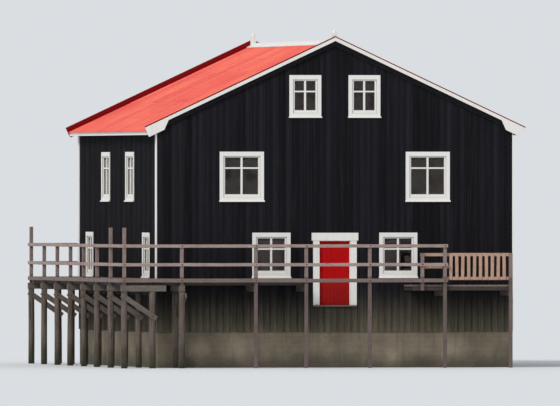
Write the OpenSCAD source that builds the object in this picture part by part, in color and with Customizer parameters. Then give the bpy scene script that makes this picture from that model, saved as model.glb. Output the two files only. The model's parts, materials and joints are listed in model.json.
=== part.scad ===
// Boathouse: a tarred timber house on a concrete foundation, with a braced pile deck round it.
// Sizes are in millimetres. The front gable faces -Y, +X is to the right and +Z is up.
// The origin is the middle of the front foundation wall's foot, at the lowest ground level.

/* [House] */
// Width of the house over its cladding
house_w = 10700; // [10200:50:11300]
// Length of the house over its cladding
house_l = 12550; // [12200:50:13500]
// Thickness of the timber walls
wall_t = 180; // [150:5:220]
// Height of the side walls above the attic floor
knee_wall_h = 500; // [400:10:700]

/* [Foundation] */
// Height of the concrete foundation walls
foundation_h = 1050; // [800:10:1300]
// Thickness of the foundation walls
foundation_t = 250; // [200:10:320]
// How far the cladding stands out past the concrete
cladding_lap = 30; // [10:5:50]

/* [Floors] */
// Height of the ground floor's top above the lowest ground
ground_floor_z = 1840; // [1700:10:2000]
// Height from the ground floor to the upper floor
ground_storey_h = 2310; // [2250:10:2500]
// Height from the upper floor to the attic floor
upper_storey_h = 2350; // [2280:10:2600]
// Thickness of the floors
floor_t = 220; // [160:10:240]

/* [Roof] */
// Slope of the roof in degrees
roof_pitch = 25; // [22:0.5:28]
// Thickness of the rafters and boards together
roof_deck_t = 90; // [70:5:120]
// Thickness of the metal sheets over their ribs
roof_sheet_t = 30; // [20:2:40]
// How far the roof stands out past the side walls
eave_overhang = 240; // [180:10:340]
// How far the roof stands out past the gable walls
gable_overhang = 50; // [40:5:200]
// How far the metal sheets stand out past the eave boards
sheet_lap = 60; // [40:5:80]
// Depth of the eave boards
eave_board_h = 125; // [110:5:160]
// Thickness of the eave boards and barge boards
roof_trim_t = 30; // [20:2:40]
// Depth of the barge boards, square to the slope
barge_h = 125; // [110:5:150]
// Depth of the boxed lower ends of the barge boards
barge_foot_h = 330; // [280:5:360]
// Length of the boxed lower ends along their lower edge
barge_foot_l = 500; // [400:10:600]
// Length over which the barge boards widen to their boxed ends
barge_foot_slant = 240; // [180:10:300]
// How far the barge boards stand above the sheets
barge_rise = 150; // [120:5:180]
// Thickness of the boards that close the verges behind the barge boards
verge_board_t = 25; // [20:1:35]
// Thickness of the flashing that turns up behind the verge boards
verge_t = 25; // [15:1:40]
// Width of each wing of the ridge capping
ridge_wing = 200; // [150:10:260]
// Thickness of the ridge capping
ridge_cap_t = 12; // [8:1:16]
// Width of a finial's foot
finial_w = 150; // [120:5:170]
// Height of a finial above the ridge capping
finial_h = 340; // [300:10:380]
// Height of a finial's foot above the ridge capping
finial_foot_h = 240; // [200:5:260]
// Diameter of the round stub on a finial's foot
finial_stub_d = 110; // [80:5:120]
// Height of the point on a finial's stub
finial_point_h = 50; // [30:5:70]

/* [Trim] */
// Width of the corner boards, which lie on the side walls
corner_board_w = 200; // [150:5:230]
// Thickness of the corner boards and casings
trim_t = 25; // [20:1:32]

/* [Windows] */
// Width of the attic windows over their casings
attic_window_w = 960; // [900:10:1050]
// Height of the attic windows over their casings
attic_window_h = 1260; // [1150:10:1350]
// Distance of the attic windows from the middle of the gable
attic_window_x = 890; // [800:10:1100]
// Height of the attic casings above the attic floor
attic_sill_h = 870; // [750:10:900]
// Width of the upper windows over their casings
upper_window_w = 1330; // [1200:10:1400]
// Height of the upper windows over their casings
upper_window_h = 1480; // [1350:10:1560]
// Distance of the upper windows from the middle of the gable
upper_window_x = 2800; // [2400:10:3200]
// Height of the upper casings above the upper floor
upper_sill_h = 740; // [650:10:780]
// Width of the ground-floor windows over their casings
ground_window_w = 1150; // [1050:10:1250]
// Height of the ground-floor windows over their casings
ground_window_h = 1345; // [1250:5:1380]
// Distance of the ground-floor windows from the middle of the gable
ground_window_x = 1910; // [1800:10:2300]
// Height of the ground-floor casings above the ground floor
ground_sill_h = 795; // [790:5:830]
// First upper window of a side wall, from the front face
side_upper_first = 4230; // [3900:10:4900]
// Second upper window of a side wall, from the front face
side_upper_second = 8080; // [7700:10:8900]
// First ground-floor window of a side wall, from the front face
side_ground_first = 1650; // [1100:10:2200]
// Second ground-floor window of a side wall, from the front face
side_ground_second = 10700; // [10300:10:11300]
// Width of the casing boards at the sides
casing_side = 110; // [90:5:130]
// Width of the casing boards above and below
casing_end = 130; // [100:5:150]
// Width of the window frame inside the casing at the sides
frame_side = 80; // [60:5:95]
// Width of the window frame inside the casing above and below
frame_end = 110; // [80:5:120]
// Depth of the window frames into the wall
frame_depth = 110; // [80:5:140]
// Thickness of the glazing
glass_t = 20; // [12:2:28]
// Distance of the glazing behind the wall's face
glass_inset = 45; // [20:5:50]
// Height of the window sills
sill_h = 45; // [30:5:60]
// How far the sills fall from the casing to their nose
sill_fall = 18; // [10:1:25]
// How far the sills stand out past the casing
sill_nose = 35; // [20:5:50]

/* [Door] */
// Width of the door leaf
door_w = 920; // [850:10:960]
// Height of the door leaf
door_h = 1894; // [1860:2:1950]
// Thickness of the door leaf
door_t = 45; // [40:1:50]
// Clearance round the door leaf
door_gap = 6; // [5:0.5:8]
// Thickness of the jambs and the head
jamb_t = 55; // [45:1:65]
// Thickness of the stop that the leaf closes behind
stop_t = 15; // [10:1:20]
// How far the stop stands out past the jamb
stop_w = 15; // [12:1:20]
// Distance from the wall's face to the front of the stop
stop_inset = 45; // [30:1:50]
// Width of the door casings
door_casing_w = 190; // [150:5:220]
// Overall width of the cap over the door
door_cap_w = 1400; // [1370:10:1500]
// Height of the cap over the door
door_cap_h = 230; // [200:5:250]
// Thickness of the cap over the door
door_cap_t = 40; // [34:1:50]
// Thickness of the threshold
threshold_t = 40; // [30:2:50]
// Height of the ledges on the leaf's inner face
ledge_h = 120; // [100:5:150]
// Thickness of the ledges
ledge_t = 22; // [18:1:28]
// Distance of the ledges from the edges of the leaf
ledge_margin = 40; // [30:1:60]
// How far the jambs stop short of the leaf's inner face
jamb_reveal = 2; // [1:0.5:4]
// Distance of the hinge pins past the edge of the jamb
hinge_setback = 10; // [9:0.5:14]
// Radius of the hinge pins
hinge_pin_r = 8; // [6:0.5:9]
// Wall of the strap eyes round the hinge pins
hinge_eye_wall = 6; // [5:0.5:7]
// Running clearance between a pin and its eye
hinge_clearance = 0.08; // [0.03:0.01:0.1]
// Height of the pintles' plates
pintle_plate_h = 90; // [70:5:120]
// Thickness of the pintles' plates
pintle_plate_t = 6; // [4:0.5:8]
// Height of the hinge straps
strap_h = 45; // [35:1:60]
// Length of the hinge straps from the pin
strap_l = 620; // [450:10:750]
// Thickness of the hinge straps
strap_t = 8; // [6:0.5:10]
// Distance of the hinges from the ends of the leaf
hinge_inset = 280; // [220:10:350]
// Height of the knobs above the floor
knob_z = 1000; // [900:10:1100]
// Distance of the knobs from the edge of the leaf
knob_inset = 65; // [60:1:80]
// Radius of the knobs
knob_r = 27; // [24:0.5:30]
// Length of a knob's stem
knob_stem_l = 26; // [20:1:32]
// Radius of a knob's stem at the rose
knob_stem_r = 11; // [10:0.5:14]
// Radius of a knob's stem at the knob
knob_neck_r = 9; // [7:0.5:10]
// Thickness of a knob's rose
rose_t = 5; // [4:0.5:7]
// How far a rose stands out round its knob
rose_rim = 3; // [2:0.5:6]

/* [Decks] */
// Height of the deck boards' top
deck_z = 2630; // [2550:10:2630]
// Thickness of the deck boards
deck_board_t = 45; // [35:1:55]
// Width of the deck along the left wall
side_deck_w = 1190; // [1100:10:1400]
// Width of the deck along the front wall
front_deck_w = 1350; // [1200:10:1600]
// Width of the deck along the back wall
back_deck_w = 1100; // [1000:10:1500]
// Right end of the front deck, left of the middle of the gable
front_deck_end = 1090; // [900:10:1200]
// Height of the stringers
stringer_h = 150; // [120:5:180]
// Thickness of the stringers
stringer_w = 75; // [60:5:90]
// Stringers under each deck
stringer_count = 4; // [3:1:5]
// Height of the cap beams
cap_h = 180; // [150:5:200]
// Width of the cap beams
cap_w = 160; // [140:5:180]
// Diameter of the piles
pile_d = 200; // [180:5:220]
// Distance of the inner piles from the wall
inner_pile_gap = 400; // [300:10:450]
// Bays of the trestle along the left wall
side_bays = 7; // [6:1:9]
// Bays of the trestle along the back wall
back_bays = 6; // [5:1:8]
// First pile of the front deck, left of the middle of the gable
front_pile_x = 4870; // [4500:10:5000]
// Second support of the front deck, left of the middle of the gable
front_post_x = 2650; // [2400:10:3000]
// Depth of the braces
brace_h = 150; // [120:5:170]
// Thickness of the braces
brace_t = 50; // [40:1:60]
// How deep the braces are let into the piles
brace_dap = 20; // [10:1:30]
// Height of a brace at the outer pile
brace_top_z = 2090; // [2000:10:2110]
// Height of a brace at the inner pile
brace_foot_z = 1520; // [1200:10:1600]
// Length of a brace past each pile's middle
brace_tail = 120; // [110:5:130]

/* [Railings] */
// Width of the square rail posts
post_w = 100; // [90:5:120]
// Height of the top rail above the deck
rail_top_h = 1010; // [950:10:1100]
// Height of the middle rail above the deck
rail_mid_h = 460; // [400:10:520]
// Depth of the rails
rail_h = 95; // [80:5:120]
// Depth of the edge board at deck level
edge_board_h = 110; // [90:5:140]
// Thickness of the rails and the edge board
rail_t = 40; // [30:2:50]
// Height of the tall posts above the deck
tall_post_h = 1500; // [1400:10:1700]
// Gap between the return rails and the back rails
return_rail_gap = 10; // [5:1:20]
// Free post in front of the door, right of the middle of the gable
door_post_x = 770; // [680:10:900]
// Right end of the front rails, right of the middle of the gable
front_rail_end = 3110; // [3080:10:3200]

/* [Right deck] */
// Height of the right deck's top
right_deck_z = 2440; // [2350:10:2460]
// Left end of the right deck, right of the middle of the gable
right_deck_start = 2080; // [1900:10:2150]
// Distance of the right deck's end from the house's right corner
right_deck_inset = 280; // [200:10:290]
// Height of the right deck's stringers
right_stringer_h = 120; // [100:5:150]
// Height of the right deck's cross beams
right_beam_h = 150; // [120:5:180]
// First post of the right balustrade
balustrade_start = 2350; // [2200:10:2500]
// Second post, which also ends the front rails
balustrade_middle = 3030; // [2950:10:3100]
// Distance of the balustrade's last post from the house's right corner
balustrade_inset = 340; // [340:10:400]
// Height of the balustrade above the right deck
balustrade_h = 940; // [850:10:1000]
// Distance of the balustrade's middle rail below its top
balustrade_mid_drop = 360; // [300:10:420]
// Height of the balustrade's lower rail above the right deck
balustrade_low_h = 240; // [200:10:280]
// Height of the balustrade's boards
baluster_l = 770; // [700:10:800]
// How far the boards stop below the top of the balustrade
baluster_reveal = 20; // [10:1:30]
// Width of the balustrade's boards
baluster_w = 95; // [80:5:120]
// Thickness of the balustrade's boards
baluster_t = 20; // [16:1:28]
// Widest gap between the balustrade's boards
baluster_gap = 90; // [70:5:120]

/* [Hidden] */

$fn = 48;
// Extra length of a cutting shape past the face that it cuts
cut = 5;
// Clearance under each sloping piece of the roof, so that it rests on the piece below without biting in
seat_gap = 0.1;
// Clearance between the ends of the ridge capping and the flashings
cap_end_gap = 2;
// How far the pintles' plates stay inside the edge of the doorway
plate_margin = 3;
// How far a hinge pin stands above its strap
pin_rise = 6;
// Height of a knob's bulge as a share of its radius
knob_bulge = 0.55;

// Planes of the house
half_w = house_w / 2;
front_y = -(foundation_t / 2 + cladding_lap);
back_y = front_y + house_l;
inner_x = half_w - wall_t;
inner_front_y = front_y + wall_t;
inner_back_y = back_y - wall_t;
concrete_x = half_w - cladding_lap;

// Levels of the house
upper_floor_z = ground_floor_z + ground_storey_h;
attic_floor_z = upper_floor_z + upper_storey_h;
wall_top_z = attic_floor_z + knee_wall_h;

// Roof
eave_x = half_w + eave_overhang;
roof_front_y = front_y - gable_overhang;
roof_l = house_l + 2 * gable_overhang;
roof_deck_rise = roof_deck_t / cos(roof_pitch);
roof_sheet_rise = roof_sheet_t / cos(roof_pitch);
roof_rise = roof_deck_rise + seat_gap + roof_sheet_rise;
barge_x = eave_x + roof_trim_t + sheet_lap;
verge_y = roof_front_y - verge_board_t;
verge_l = roof_l + 2 * verge_board_t;
ridge_cap_y = roof_front_y + verge_t + cap_end_gap;
ridge_cap_l = roof_l - 2 * (verge_t + cap_end_gap);

// Door and its frame, from the wall's face inwards
door_bottom_z = ground_floor_z + door_gap;
door_top_z = door_bottom_z + door_h;
jamb_x = door_w / 2 + door_gap;
doorway_x = jamb_x + jamb_t;
doorway_top_z = door_top_z + door_gap + jamb_t;
stop_back = stop_inset + stop_t;
leaf_y = stop_back + door_gap;
leaf_back_y = leaf_y + door_t;
jamb_depth = leaf_back_y - jamb_reveal;
hinge_eye_r = hinge_pin_r + hinge_clearance + hinge_eye_wall;
hinge_x = -(jamb_x + hinge_setback);
hinge_y = leaf_back_y + hinge_eye_r;
hinge_heights = [door_bottom_z + hinge_inset, door_top_z - hinge_inset];

// Windows: middle along the wall, foot of the casing, width, height
gable_windows = [
    for (s = [-1, 1]) each [
        [s * attic_window_x, attic_floor_z + attic_sill_h, attic_window_w, attic_window_h],
        [s * upper_window_x, upper_floor_z + upper_sill_h, upper_window_w, upper_window_h]
    ]
];
ground_windows = [
    for (s = [-1, 1])
        [s * ground_window_x, ground_floor_z + ground_sill_h, ground_window_w, ground_window_h]
];
side_windows = [
    for (y = [side_upper_first, side_upper_second])
        [front_y + y, upper_floor_z + upper_sill_h, upper_window_w, upper_window_h],
    for (y = [side_ground_first, side_ground_second])
        [front_y + y, ground_floor_z + ground_sill_h, ground_window_w, ground_window_h]
];

// Decks: levels from the boards down
stringer_top_z = deck_z - deck_board_t;
cap_top_z = stringer_top_z - stringer_h;
cap_bottom_z = cap_top_z - cap_h;
right_stringer_top_z = right_deck_z - deck_board_t;
right_beam_top_z = right_stringer_top_z - right_stringer_h;
right_beam_bottom_z = right_beam_top_z - right_beam_h;

// Decks: outer edges, and the planes of the posts that stand against them
deck_edge_x = -(half_w + side_deck_w);
deck_front_y = front_y - front_deck_w;
deck_back_y = back_y + back_deck_w;
left_post_x = deck_edge_x - post_w / 2;
front_post_y = deck_front_y - post_w / 2;
back_post_y = deck_back_y + post_w / 2;
back_last_x = half_w - post_w;
right_deck_end = half_w - right_deck_inset;
balustrade_end = half_w - balustrade_inset;
side_bay = (back_post_y - front_post_y) / side_bays;
back_bay = (back_last_x - left_post_x) / back_bays;
left_bents = [for (i = [0:side_bays]) front_post_y + i * side_bay];
back_bents = [for (i = [1:back_bays]) left_post_x + i * back_bay];
rail_top_z = deck_z + rail_top_h;
front_rail_x = max(front_rail_end, balustrade_middle + post_w / 2);
tall_post_z = deck_z + tall_post_h;

// Height of a wall's sloping top at a distance x from the ridge's plane
function wall_top(x) = wall_top_z + (half_w - abs(x)) * tan(roof_pitch);
// Height of the roof's underside
function roof_under(x) = wall_top(x) + seat_gap;
// Height of the metal sheets' top
function roof_top(x) = roof_under(x) + roof_rise;
// Distance from the ridge's plane to the square-cut roof ends, at a height above the sheets' top
function end_x(height) = barge_x + height * cos(roof_pitch) * sin(roof_pitch);
// Heights of the ridge capping's underside and top
function ridge_under(x) = roof_top(x) + seat_gap;
function ridge_top(x) = ridge_under(x) + ridge_cap_t / cos(roof_pitch);
// Sizes of the hole and the glass of a window, from its casing
function hole_w(w) = w - 2 * casing_side;
function hole_h(h) = h - 2 * casing_end;
function glass_w(w) = hole_w(w) - 2 * frame_side;
function glass_h(h) = hole_h(h) - 2 * frame_end;

// A profile drawn in X and Z, extruded along Y from y0
module along_y(y0, length) {
    translate([0, y0 + length, 0]) rotate([90, 0, 0]) linear_extrude(length) children();
}

// A box between two corners
module box(low, high) {
    translate(low) cube(high - low);
}

// Places with X along the wall, Y into it and the wall's face at Y = 0
module on_front(x, z) {
    translate([x, front_y, z]) children();
}
module on_back(x, z) {
    translate([x, back_y, z]) rotate([0, 0, 180]) children();
}
module on_left(y, z) {
    translate([-half_w, y, z]) rotate([0, 0, -90]) children();
}
module on_right(y, z) {
    translate([half_w, y, z]) rotate([0, 0, 90]) children();
}

// Concrete foundation walls under the gables
module foundation_ends() {
    color([0.40, 0.36, 0.32])
    for (y = [-foundation_t / 2, back_y - cladding_lap - foundation_t])
        box([-concrete_x, y, 0], [concrete_x, y + foundation_t, foundation_h]);
}

// Concrete foundation walls under the side walls, between the other two
module foundation_sides() {
    color([0.40, 0.36, 0.32])
    for (x = [-concrete_x, concrete_x - foundation_t])
        box([x, foundation_t / 2, 0],
            [x + foundation_t, back_y - cladding_lap - foundation_t, foundation_h]);
}

// A floor between the four walls
module floor_slab(top_z) {
    color([0.55, 0.45, 0.33])
    box([-inner_x, inner_front_y, top_z - floor_t], [inner_x, inner_back_y, top_z]);
}
module ground_floor() { floor_slab(ground_floor_z); }
module upper_floor() { floor_slab(upper_floor_z); }
module attic_floor() { floor_slab(attic_floor_z); }

// Hole for a window, through the wall
module window_hole(w, h) {
    translate([-hole_w(w) / 2, -cut, casing_end]) cube([hole_w(w), wall_t + 2 * cut, hole_h(h)]);
}

// Outline of a gable wall above a level, up to the roof
module gable_outline(bottom_z) {
    polygon([
        [-half_w, bottom_z], [half_w, bottom_z], [half_w, wall_top_z],
        [0, wall_top(0)], [-half_w, wall_top_z]
    ]);
}

// Front wall of the ground storey, on one side of the doorway
module front_wall_part(side) {
    color([0.12, 0.12, 0.14])
    difference() {
        translate([side > 0 ? doorway_x : -half_w, front_y, foundation_h])
            cube([half_w - doorway_x, wall_t, upper_floor_z - foundation_h]);
        for (w = ground_windows) on_front(w[0], w[1]) window_hole(w[2], w[3]);
    }
}
module front_wall_left() { front_wall_part(-1); }
module front_wall_right() { front_wall_part(1); }

// Front wall under the threshold and over the door's head
module front_wall_middle() {
    color([0.12, 0.12, 0.14]) {
        box([-doorway_x, front_y, foundation_h],
            [doorway_x, inner_front_y, ground_floor_z - threshold_t]);
        box([-doorway_x, front_y, doorway_top_z], [doorway_x, inner_front_y, upper_floor_z]);
    }
}

// Front wall from the upper floor to the ridge
module front_gable() {
    color([0.12, 0.12, 0.14])
    difference() {
        along_y(front_y, wall_t) gable_outline(upper_floor_z);
        for (w = gable_windows) on_front(w[0], w[1]) window_hole(w[2], w[3]);
    }
}

// Back wall from the foundation to the ridge
module back_wall() {
    color([0.12, 0.12, 0.14])
    difference() {
        along_y(inner_back_y, wall_t) gable_outline(foundation_h);
        for (w = concat(gable_windows, ground_windows))
            on_back(w[0], w[1]) window_hole(w[2], w[3]);
    }
}

// Side wall between the gable walls, with its top cut to the roof's slope
module side_wall(side) {
    along_y(inner_front_y, house_l - 2 * wall_t)
    polygon([
        [side * half_w, foundation_h], [side * inner_x, foundation_h],
        [side * inner_x, wall_top(inner_x)], [side * half_w, wall_top_z]
    ]);
}
module left_wall() {
    color([0.12, 0.12, 0.14])
    difference() {
        side_wall(-1);
        for (w = side_windows) on_left(w[0], w[1]) window_hole(w[2], w[3]);
    }
}
module right_wall() {
    color([0.12, 0.12, 0.14])
    difference() {
        side_wall(1);
        for (w = side_windows) on_right(w[0], w[1]) window_hole(w[2], w[3]);
    }
}

// One corner board on a side wall, from a level up to the roof
module corner_board(side, start_y, bottom_z) {
    face_x = half_w + trim_t;
    along_y(start_y, corner_board_w)
    polygon([
        [side * half_w, bottom_z], [side * face_x, bottom_z],
        [side * face_x, wall_top(face_x)], [side * half_w, wall_top_z]
    ]);
}

// Corner boards: those of the left wall stand on the deck
module corner_boards() {
    color([0.88, 0.87, 0.84])
    for (y = [front_y - trim_t, back_y + trim_t - corner_board_w]) {
        corner_board(-1, y, deck_z);
        corner_board(1, y, foundation_h);
    }
}

// Casing, frame and sill of one window, as one joined piece
module window_frame(w, h) {
    along_y(-trim_t, trim_t)
    difference() {
        translate([-w / 2, 0]) square([w, h]);
        translate([-hole_w(w) / 2, casing_end]) square([hole_w(w), hole_h(h)]);
    }
    along_y(-trim_t, trim_t + frame_depth)
    difference() {
        translate([-hole_w(w) / 2, casing_end]) square([hole_w(w), hole_h(h)]);
        translate([-glass_w(w) / 2, casing_end + frame_end]) square([glass_w(w), glass_h(h)]);
    }
    // The sill's top slopes outwards and its nose stands out past the casing
    translate([-w / 2 - sill_nose / 2, 0, 0]) rotate([90, 0, 90]) linear_extrude(w + sill_nose)
    polygon([
        [-trim_t, 0], [-trim_t - sill_nose, 0],
        [-trim_t - sill_nose, sill_h - sill_fall], [-trim_t, sill_h]
    ]);
}

// Pane of one window
module window_pane(w, h) {
    translate([-glass_w(w) / 2, glass_inset, casing_end + frame_end])
        cube([glass_w(w), glass_t, glass_h(h)]);
}

module window_frames_front() {
    color([0.88, 0.87, 0.84])
    for (w = concat(gable_windows, ground_windows)) on_front(w[0], w[1]) window_frame(w[2], w[3]);
}
module window_frames_back() {
    color([0.88, 0.87, 0.84])
    for (w = concat(gable_windows, ground_windows)) on_back(w[0], w[1]) window_frame(w[2], w[3]);
}
module window_frames_left() {
    color([0.88, 0.87, 0.84])
    for (w = side_windows) on_left(w[0], w[1]) window_frame(w[2], w[3]);
}
module window_frames_right() {
    color([0.88, 0.87, 0.84])
    for (w = side_windows) on_right(w[0], w[1]) window_frame(w[2], w[3]);
}
module window_glass() {
    color([0.55, 0.62, 0.66]) {
        for (w = concat(gable_windows, ground_windows)) {
            on_front(w[0], w[1]) window_pane(w[2], w[3]);
            on_back(w[0], w[1]) window_pane(w[2], w[3]);
        }
        for (w = side_windows) {
            on_left(w[0], w[1]) window_pane(w[2], w[3]);
            on_right(w[0], w[1]) window_pane(w[2], w[3]);
        }
    }
}

// Threshold in the doorway, with a nose under the casings
module door_threshold() {
    nose_x = jamb_x + door_casing_w;
    color([0.35, 0.30, 0.27])
    translate([0, front_y, ground_floor_z - threshold_t]) {
        box([-doorway_x, 0, 0], [doorway_x, wall_t, threshold_t]);
        box([-nose_x, -trim_t - sill_nose, 0], [nose_x, 0, threshold_t]);
    }
}

// Jambs with their stops and casings
module door_jambs() {
    color([0.88, 0.87, 0.84])
    for (s = [0, 1]) mirror([s, 0, 0]) translate([0, front_y, ground_floor_z]) {
        box([jamb_x, 0, 0], [doorway_x, jamb_depth, door_h + 2 * door_gap]);
        box([jamb_x - stop_w, stop_inset, 0], [jamb_x, stop_back, door_h + 2 * door_gap]);
        box([jamb_x, -trim_t, 0], [jamb_x + door_casing_w, 0, door_h + 2 * door_gap]);
    }
}

// Head of the door frame with its stop and the cap board over it
module door_head() {
    color([0.88, 0.87, 0.84])
    translate([0, front_y, door_top_z + door_gap]) {
        box([-doorway_x, 0, 0], [doorway_x, jamb_depth, jamb_t]);
        box([-(jamb_x - stop_w), stop_inset, -stop_w], [jamb_x - stop_w, stop_back, 0]);
        box([-door_cap_w / 2, -door_cap_t, 0], [door_cap_w / 2, 0, door_cap_h]);
    }
}

// Pintles on the inner edge of the left jamb: a plate, a lug and an upright pin
module hinge_pintles() {
    lug_h = pintle_plate_h / 2;
    color([0.15, 0.15, 0.16])
    for (z = hinge_heights) translate([0, front_y, z - strap_h / 2]) {
        box([-doorway_x + plate_margin, jamb_depth, -pintle_plate_h],
            [hinge_x + hinge_pin_r, jamb_depth + pintle_plate_t, 0]);
        box([hinge_x - hinge_pin_r, jamb_depth, -lug_h], [hinge_x + hinge_pin_r, hinge_y, 0]);
        translate([hinge_x, hinge_y, -lug_h]) cylinder(r = hinge_pin_r, h = lug_h + strap_h + pin_rise);
    }
}

// The leaf, with two ledges on its inner face
module door_leaf() {
    color([0.65, 0.06, 0.07])
    translate([0, front_y + leaf_y, 0]) {
        box([-door_w / 2, 0, door_bottom_z], [door_w / 2, door_t, door_top_z]);
        for (z = [door_bottom_z + ledge_margin, door_top_z - ledge_margin - ledge_h])
            box([-door_w / 2 + ledge_margin, door_t, z],
                [door_w / 2 - ledge_margin, door_t + ledge_t, z + ledge_h]);
    }
}

// Straps on the leaf's inner face, each rolled to an eye round its pin
module hinge_straps() {
    color([0.15, 0.15, 0.16])
    for (z = hinge_heights) translate([hinge_x, front_y + hinge_y, z - strap_h / 2])
    difference() {
        union() {
            cylinder(r = hinge_eye_r, h = strap_h);
            translate([0, -hinge_eye_r, 0]) cube([strap_l, strap_t, strap_h]);
        }
        translate([0, 0, -cut]) cylinder(r = hinge_pin_r + hinge_clearance, h = strap_h + 2 * cut);
    }
}

// A knob on each face of the leaf, on its own rose
module door_knobs() {
    rose_r = knob_r + rose_rim;
    bulge = knob_r * knob_bulge;
    color([0.25, 0.23, 0.20])
    for (s = [0, 1])
        translate([door_w / 2 - knob_inset, front_y + leaf_y + s * door_t, ground_floor_z + knob_z])
        rotate([s == 0 ? 90 : -90, 0, 0])
        rotate_extrude()
        polygon([
            [0, 0], [rose_r, 0], [rose_r, rose_t],
            [knob_stem_r, rose_t + rose_rim], [knob_neck_r, knob_stem_l],
            for (a = [-60:15:90]) [knob_r * cos(a), knob_stem_l + bulge + bulge * sin(a)]
        ]);
}

// Rafters and boards of one roof side, cut plumb at the eave, with a raised board that closes each verge
module roof_deck(side) {
    foot_x = end_x(-roof_rise);
    top_x = end_x(barge_rise);
    color([0.38, 0.30, 0.24]) {
        along_y(verge_y, verge_l)
        polygon([
            [0, roof_under(0)], [side * eave_x, roof_under(eave_x)],
            [side * eave_x, roof_under(eave_x) + roof_deck_rise], [0, roof_under(0) + roof_deck_rise]
        ]);
        for (y = [verge_y, verge_y + verge_l - verge_board_t]) along_y(y, verge_board_t)
        polygon([
            [0, roof_under(0)], [side * foot_x, roof_under(foot_x)],
            [side * top_x, roof_top(top_x) + barge_rise], [0, roof_top(0) + barge_rise]
        ]);
    }
}
module roof_deck_left() { roof_deck(-1); }
module roof_deck_right() { roof_deck(1); }

// Metal sheets of one roof side, lapping over the eave board and turned up behind the verge boards
module roof_sheet(side) {
    top_x = end_x(barge_rise);
    color([0.80, 0.20, 0.18]) {
        along_y(roof_front_y, roof_l)
        polygon([
            [0, roof_top(0) - roof_sheet_rise], [side * barge_x, roof_top(barge_x) - roof_sheet_rise],
            [side * barge_x, roof_top(barge_x)], [0, roof_top(0)]
        ]);
        for (y = [roof_front_y, roof_front_y + roof_l - verge_t]) along_y(y, verge_t)
        polygon([
            [0, roof_top(0) - roof_sheet_rise / 2],
            [side * barge_x, roof_top(barge_x) - roof_sheet_rise / 2], [side * barge_x, roof_top(barge_x)],
            [side * top_x, roof_top(top_x) + barge_rise], [0, roof_top(0) + barge_rise]
        ]);
    }
}
module roof_sheet_left() { roof_sheet(-1); }
module roof_sheet_right() { roof_sheet(1); }

// Folded capping over the ridge, between the flashings
module ridge_cap() {
    color([0.88, 0.87, 0.84])
    along_y(ridge_cap_y, ridge_cap_l)
    polygon([
        [0, ridge_top(0)], [ridge_wing, ridge_top(ridge_wing)], [ridge_wing, ridge_under(ridge_wing)],
        [0, ridge_under(0)], [-ridge_wing, ridge_under(ridge_wing)], [-ridge_wing, ridge_top(ridge_wing)]
    ]);
}

// Finial at each end of the ridge: a round pointed stub on a foot that sits astride the capping
module finials() {
    side_x = finial_w / 2;
    stub_r = finial_stub_d / 2;
    stub_h = finial_h - finial_foot_h;
    foot_top_z = ridge_top(0) + finial_foot_h;
    color([0.88, 0.87, 0.84])
    for (y = [ridge_cap_y, ridge_cap_y + ridge_cap_l - finial_w]) {
        along_y(y, finial_w)
        polygon([
            [0, ridge_top(0) + seat_gap], [side_x, ridge_top(side_x) + seat_gap], [side_x, foot_top_z],
            [-side_x, foot_top_z], [-side_x, ridge_top(side_x) + seat_gap]
        ]);
        translate([0, y + side_x, foot_top_z]) rotate_extrude()
        polygon([[0, 0], [stub_r, 0], [stub_r, stub_h - finial_point_h], [0, stub_h]]);
    }
}

// Barge boards of one roof side, at the front and back, with boxed lower ends cut square to the slope
module barge_boards(side) {
    depth = barge_h / cos(roof_pitch);
    foot_depth = barge_foot_h / cos(roof_pitch);
    top_x = end_x(barge_rise);
    foot_x = end_x(barge_rise - foot_depth);
    inner_foot_x = foot_x - barge_foot_l * cos(roof_pitch);
    slant_x = inner_foot_x - barge_foot_slant * cos(roof_pitch) + (barge_foot_h - barge_h) * sin(roof_pitch);
    color([0.88, 0.87, 0.84])
    for (y = [verge_y - roof_trim_t, verge_y + verge_l]) along_y(y, roof_trim_t)
    translate([0, barge_rise])
    polygon([
        [0, roof_top(0)], [side * top_x, roof_top(top_x)],
        [side * foot_x, roof_top(foot_x) - foot_depth],
        [side * inner_foot_x, roof_top(inner_foot_x) - foot_depth],
        [side * slant_x, roof_top(slant_x) - depth], [0, roof_top(0) - depth]
    ]);
}
module barge_boards_left() { barge_boards(-1); }
module barge_boards_right() { barge_boards(1); }

// Boards along the eaves, on the rafters' ends and under the sheets
module eave_boards() {
    board_x = eave_x + roof_trim_t;
    top_in = roof_under(eave_x) + roof_deck_rise;
    top_out = roof_under(board_x) + roof_deck_rise;
    color([0.88, 0.87, 0.84])
    for (s = [-1, 1]) along_y(roof_front_y, roof_l)
    polygon([
        [s * eave_x, top_in], [s * board_x, top_out],
        [s * board_x, top_in - eave_board_h], [s * eave_x, top_in - eave_board_h]
    ]);
}

// Places with the wall's face at X = 0 and the deck towards -X
module bent_left(y) {
    translate([-half_w, y, 0]) children();
}
module bent_front(x) {
    translate([x, front_y, 0]) rotate([0, 0, 90]) children();
}
module bent_back(x) {
    translate([x, back_y, 0]) rotate([0, 0, -90]) children();
}

// Brace of one bent: a plank from the outer pile's head down to the inner pile
module brace(deck_w) {
    outer = -(deck_w + post_w / 2);
    inner = -inner_pile_gap;
    run = inner - outer;
    drop = brace_top_z - brace_foot_z;
    angle = atan2(drop, run);
    length = norm([run, drop]) + 2 * brace_tail;
    translate([(outer + inner) / 2, -pile_d / 2 + brace_dap - brace_t, (brace_top_z + brace_foot_z) / 2])
    rotate([0, angle, 0])
    translate([-length / 2, 0, -brace_h / 2]) cube([length, brace_t, brace_h]);
}

// The two round piles of one bent, with a seat cut for the brace
module pile_pair(deck_w) {
    difference() {
        for (x = [-(deck_w + post_w / 2), -inner_pile_gap])
            translate([x, 0, 0]) cylinder(d = pile_d, h = cap_bottom_z);
        brace(deck_w);
    }
}

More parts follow.
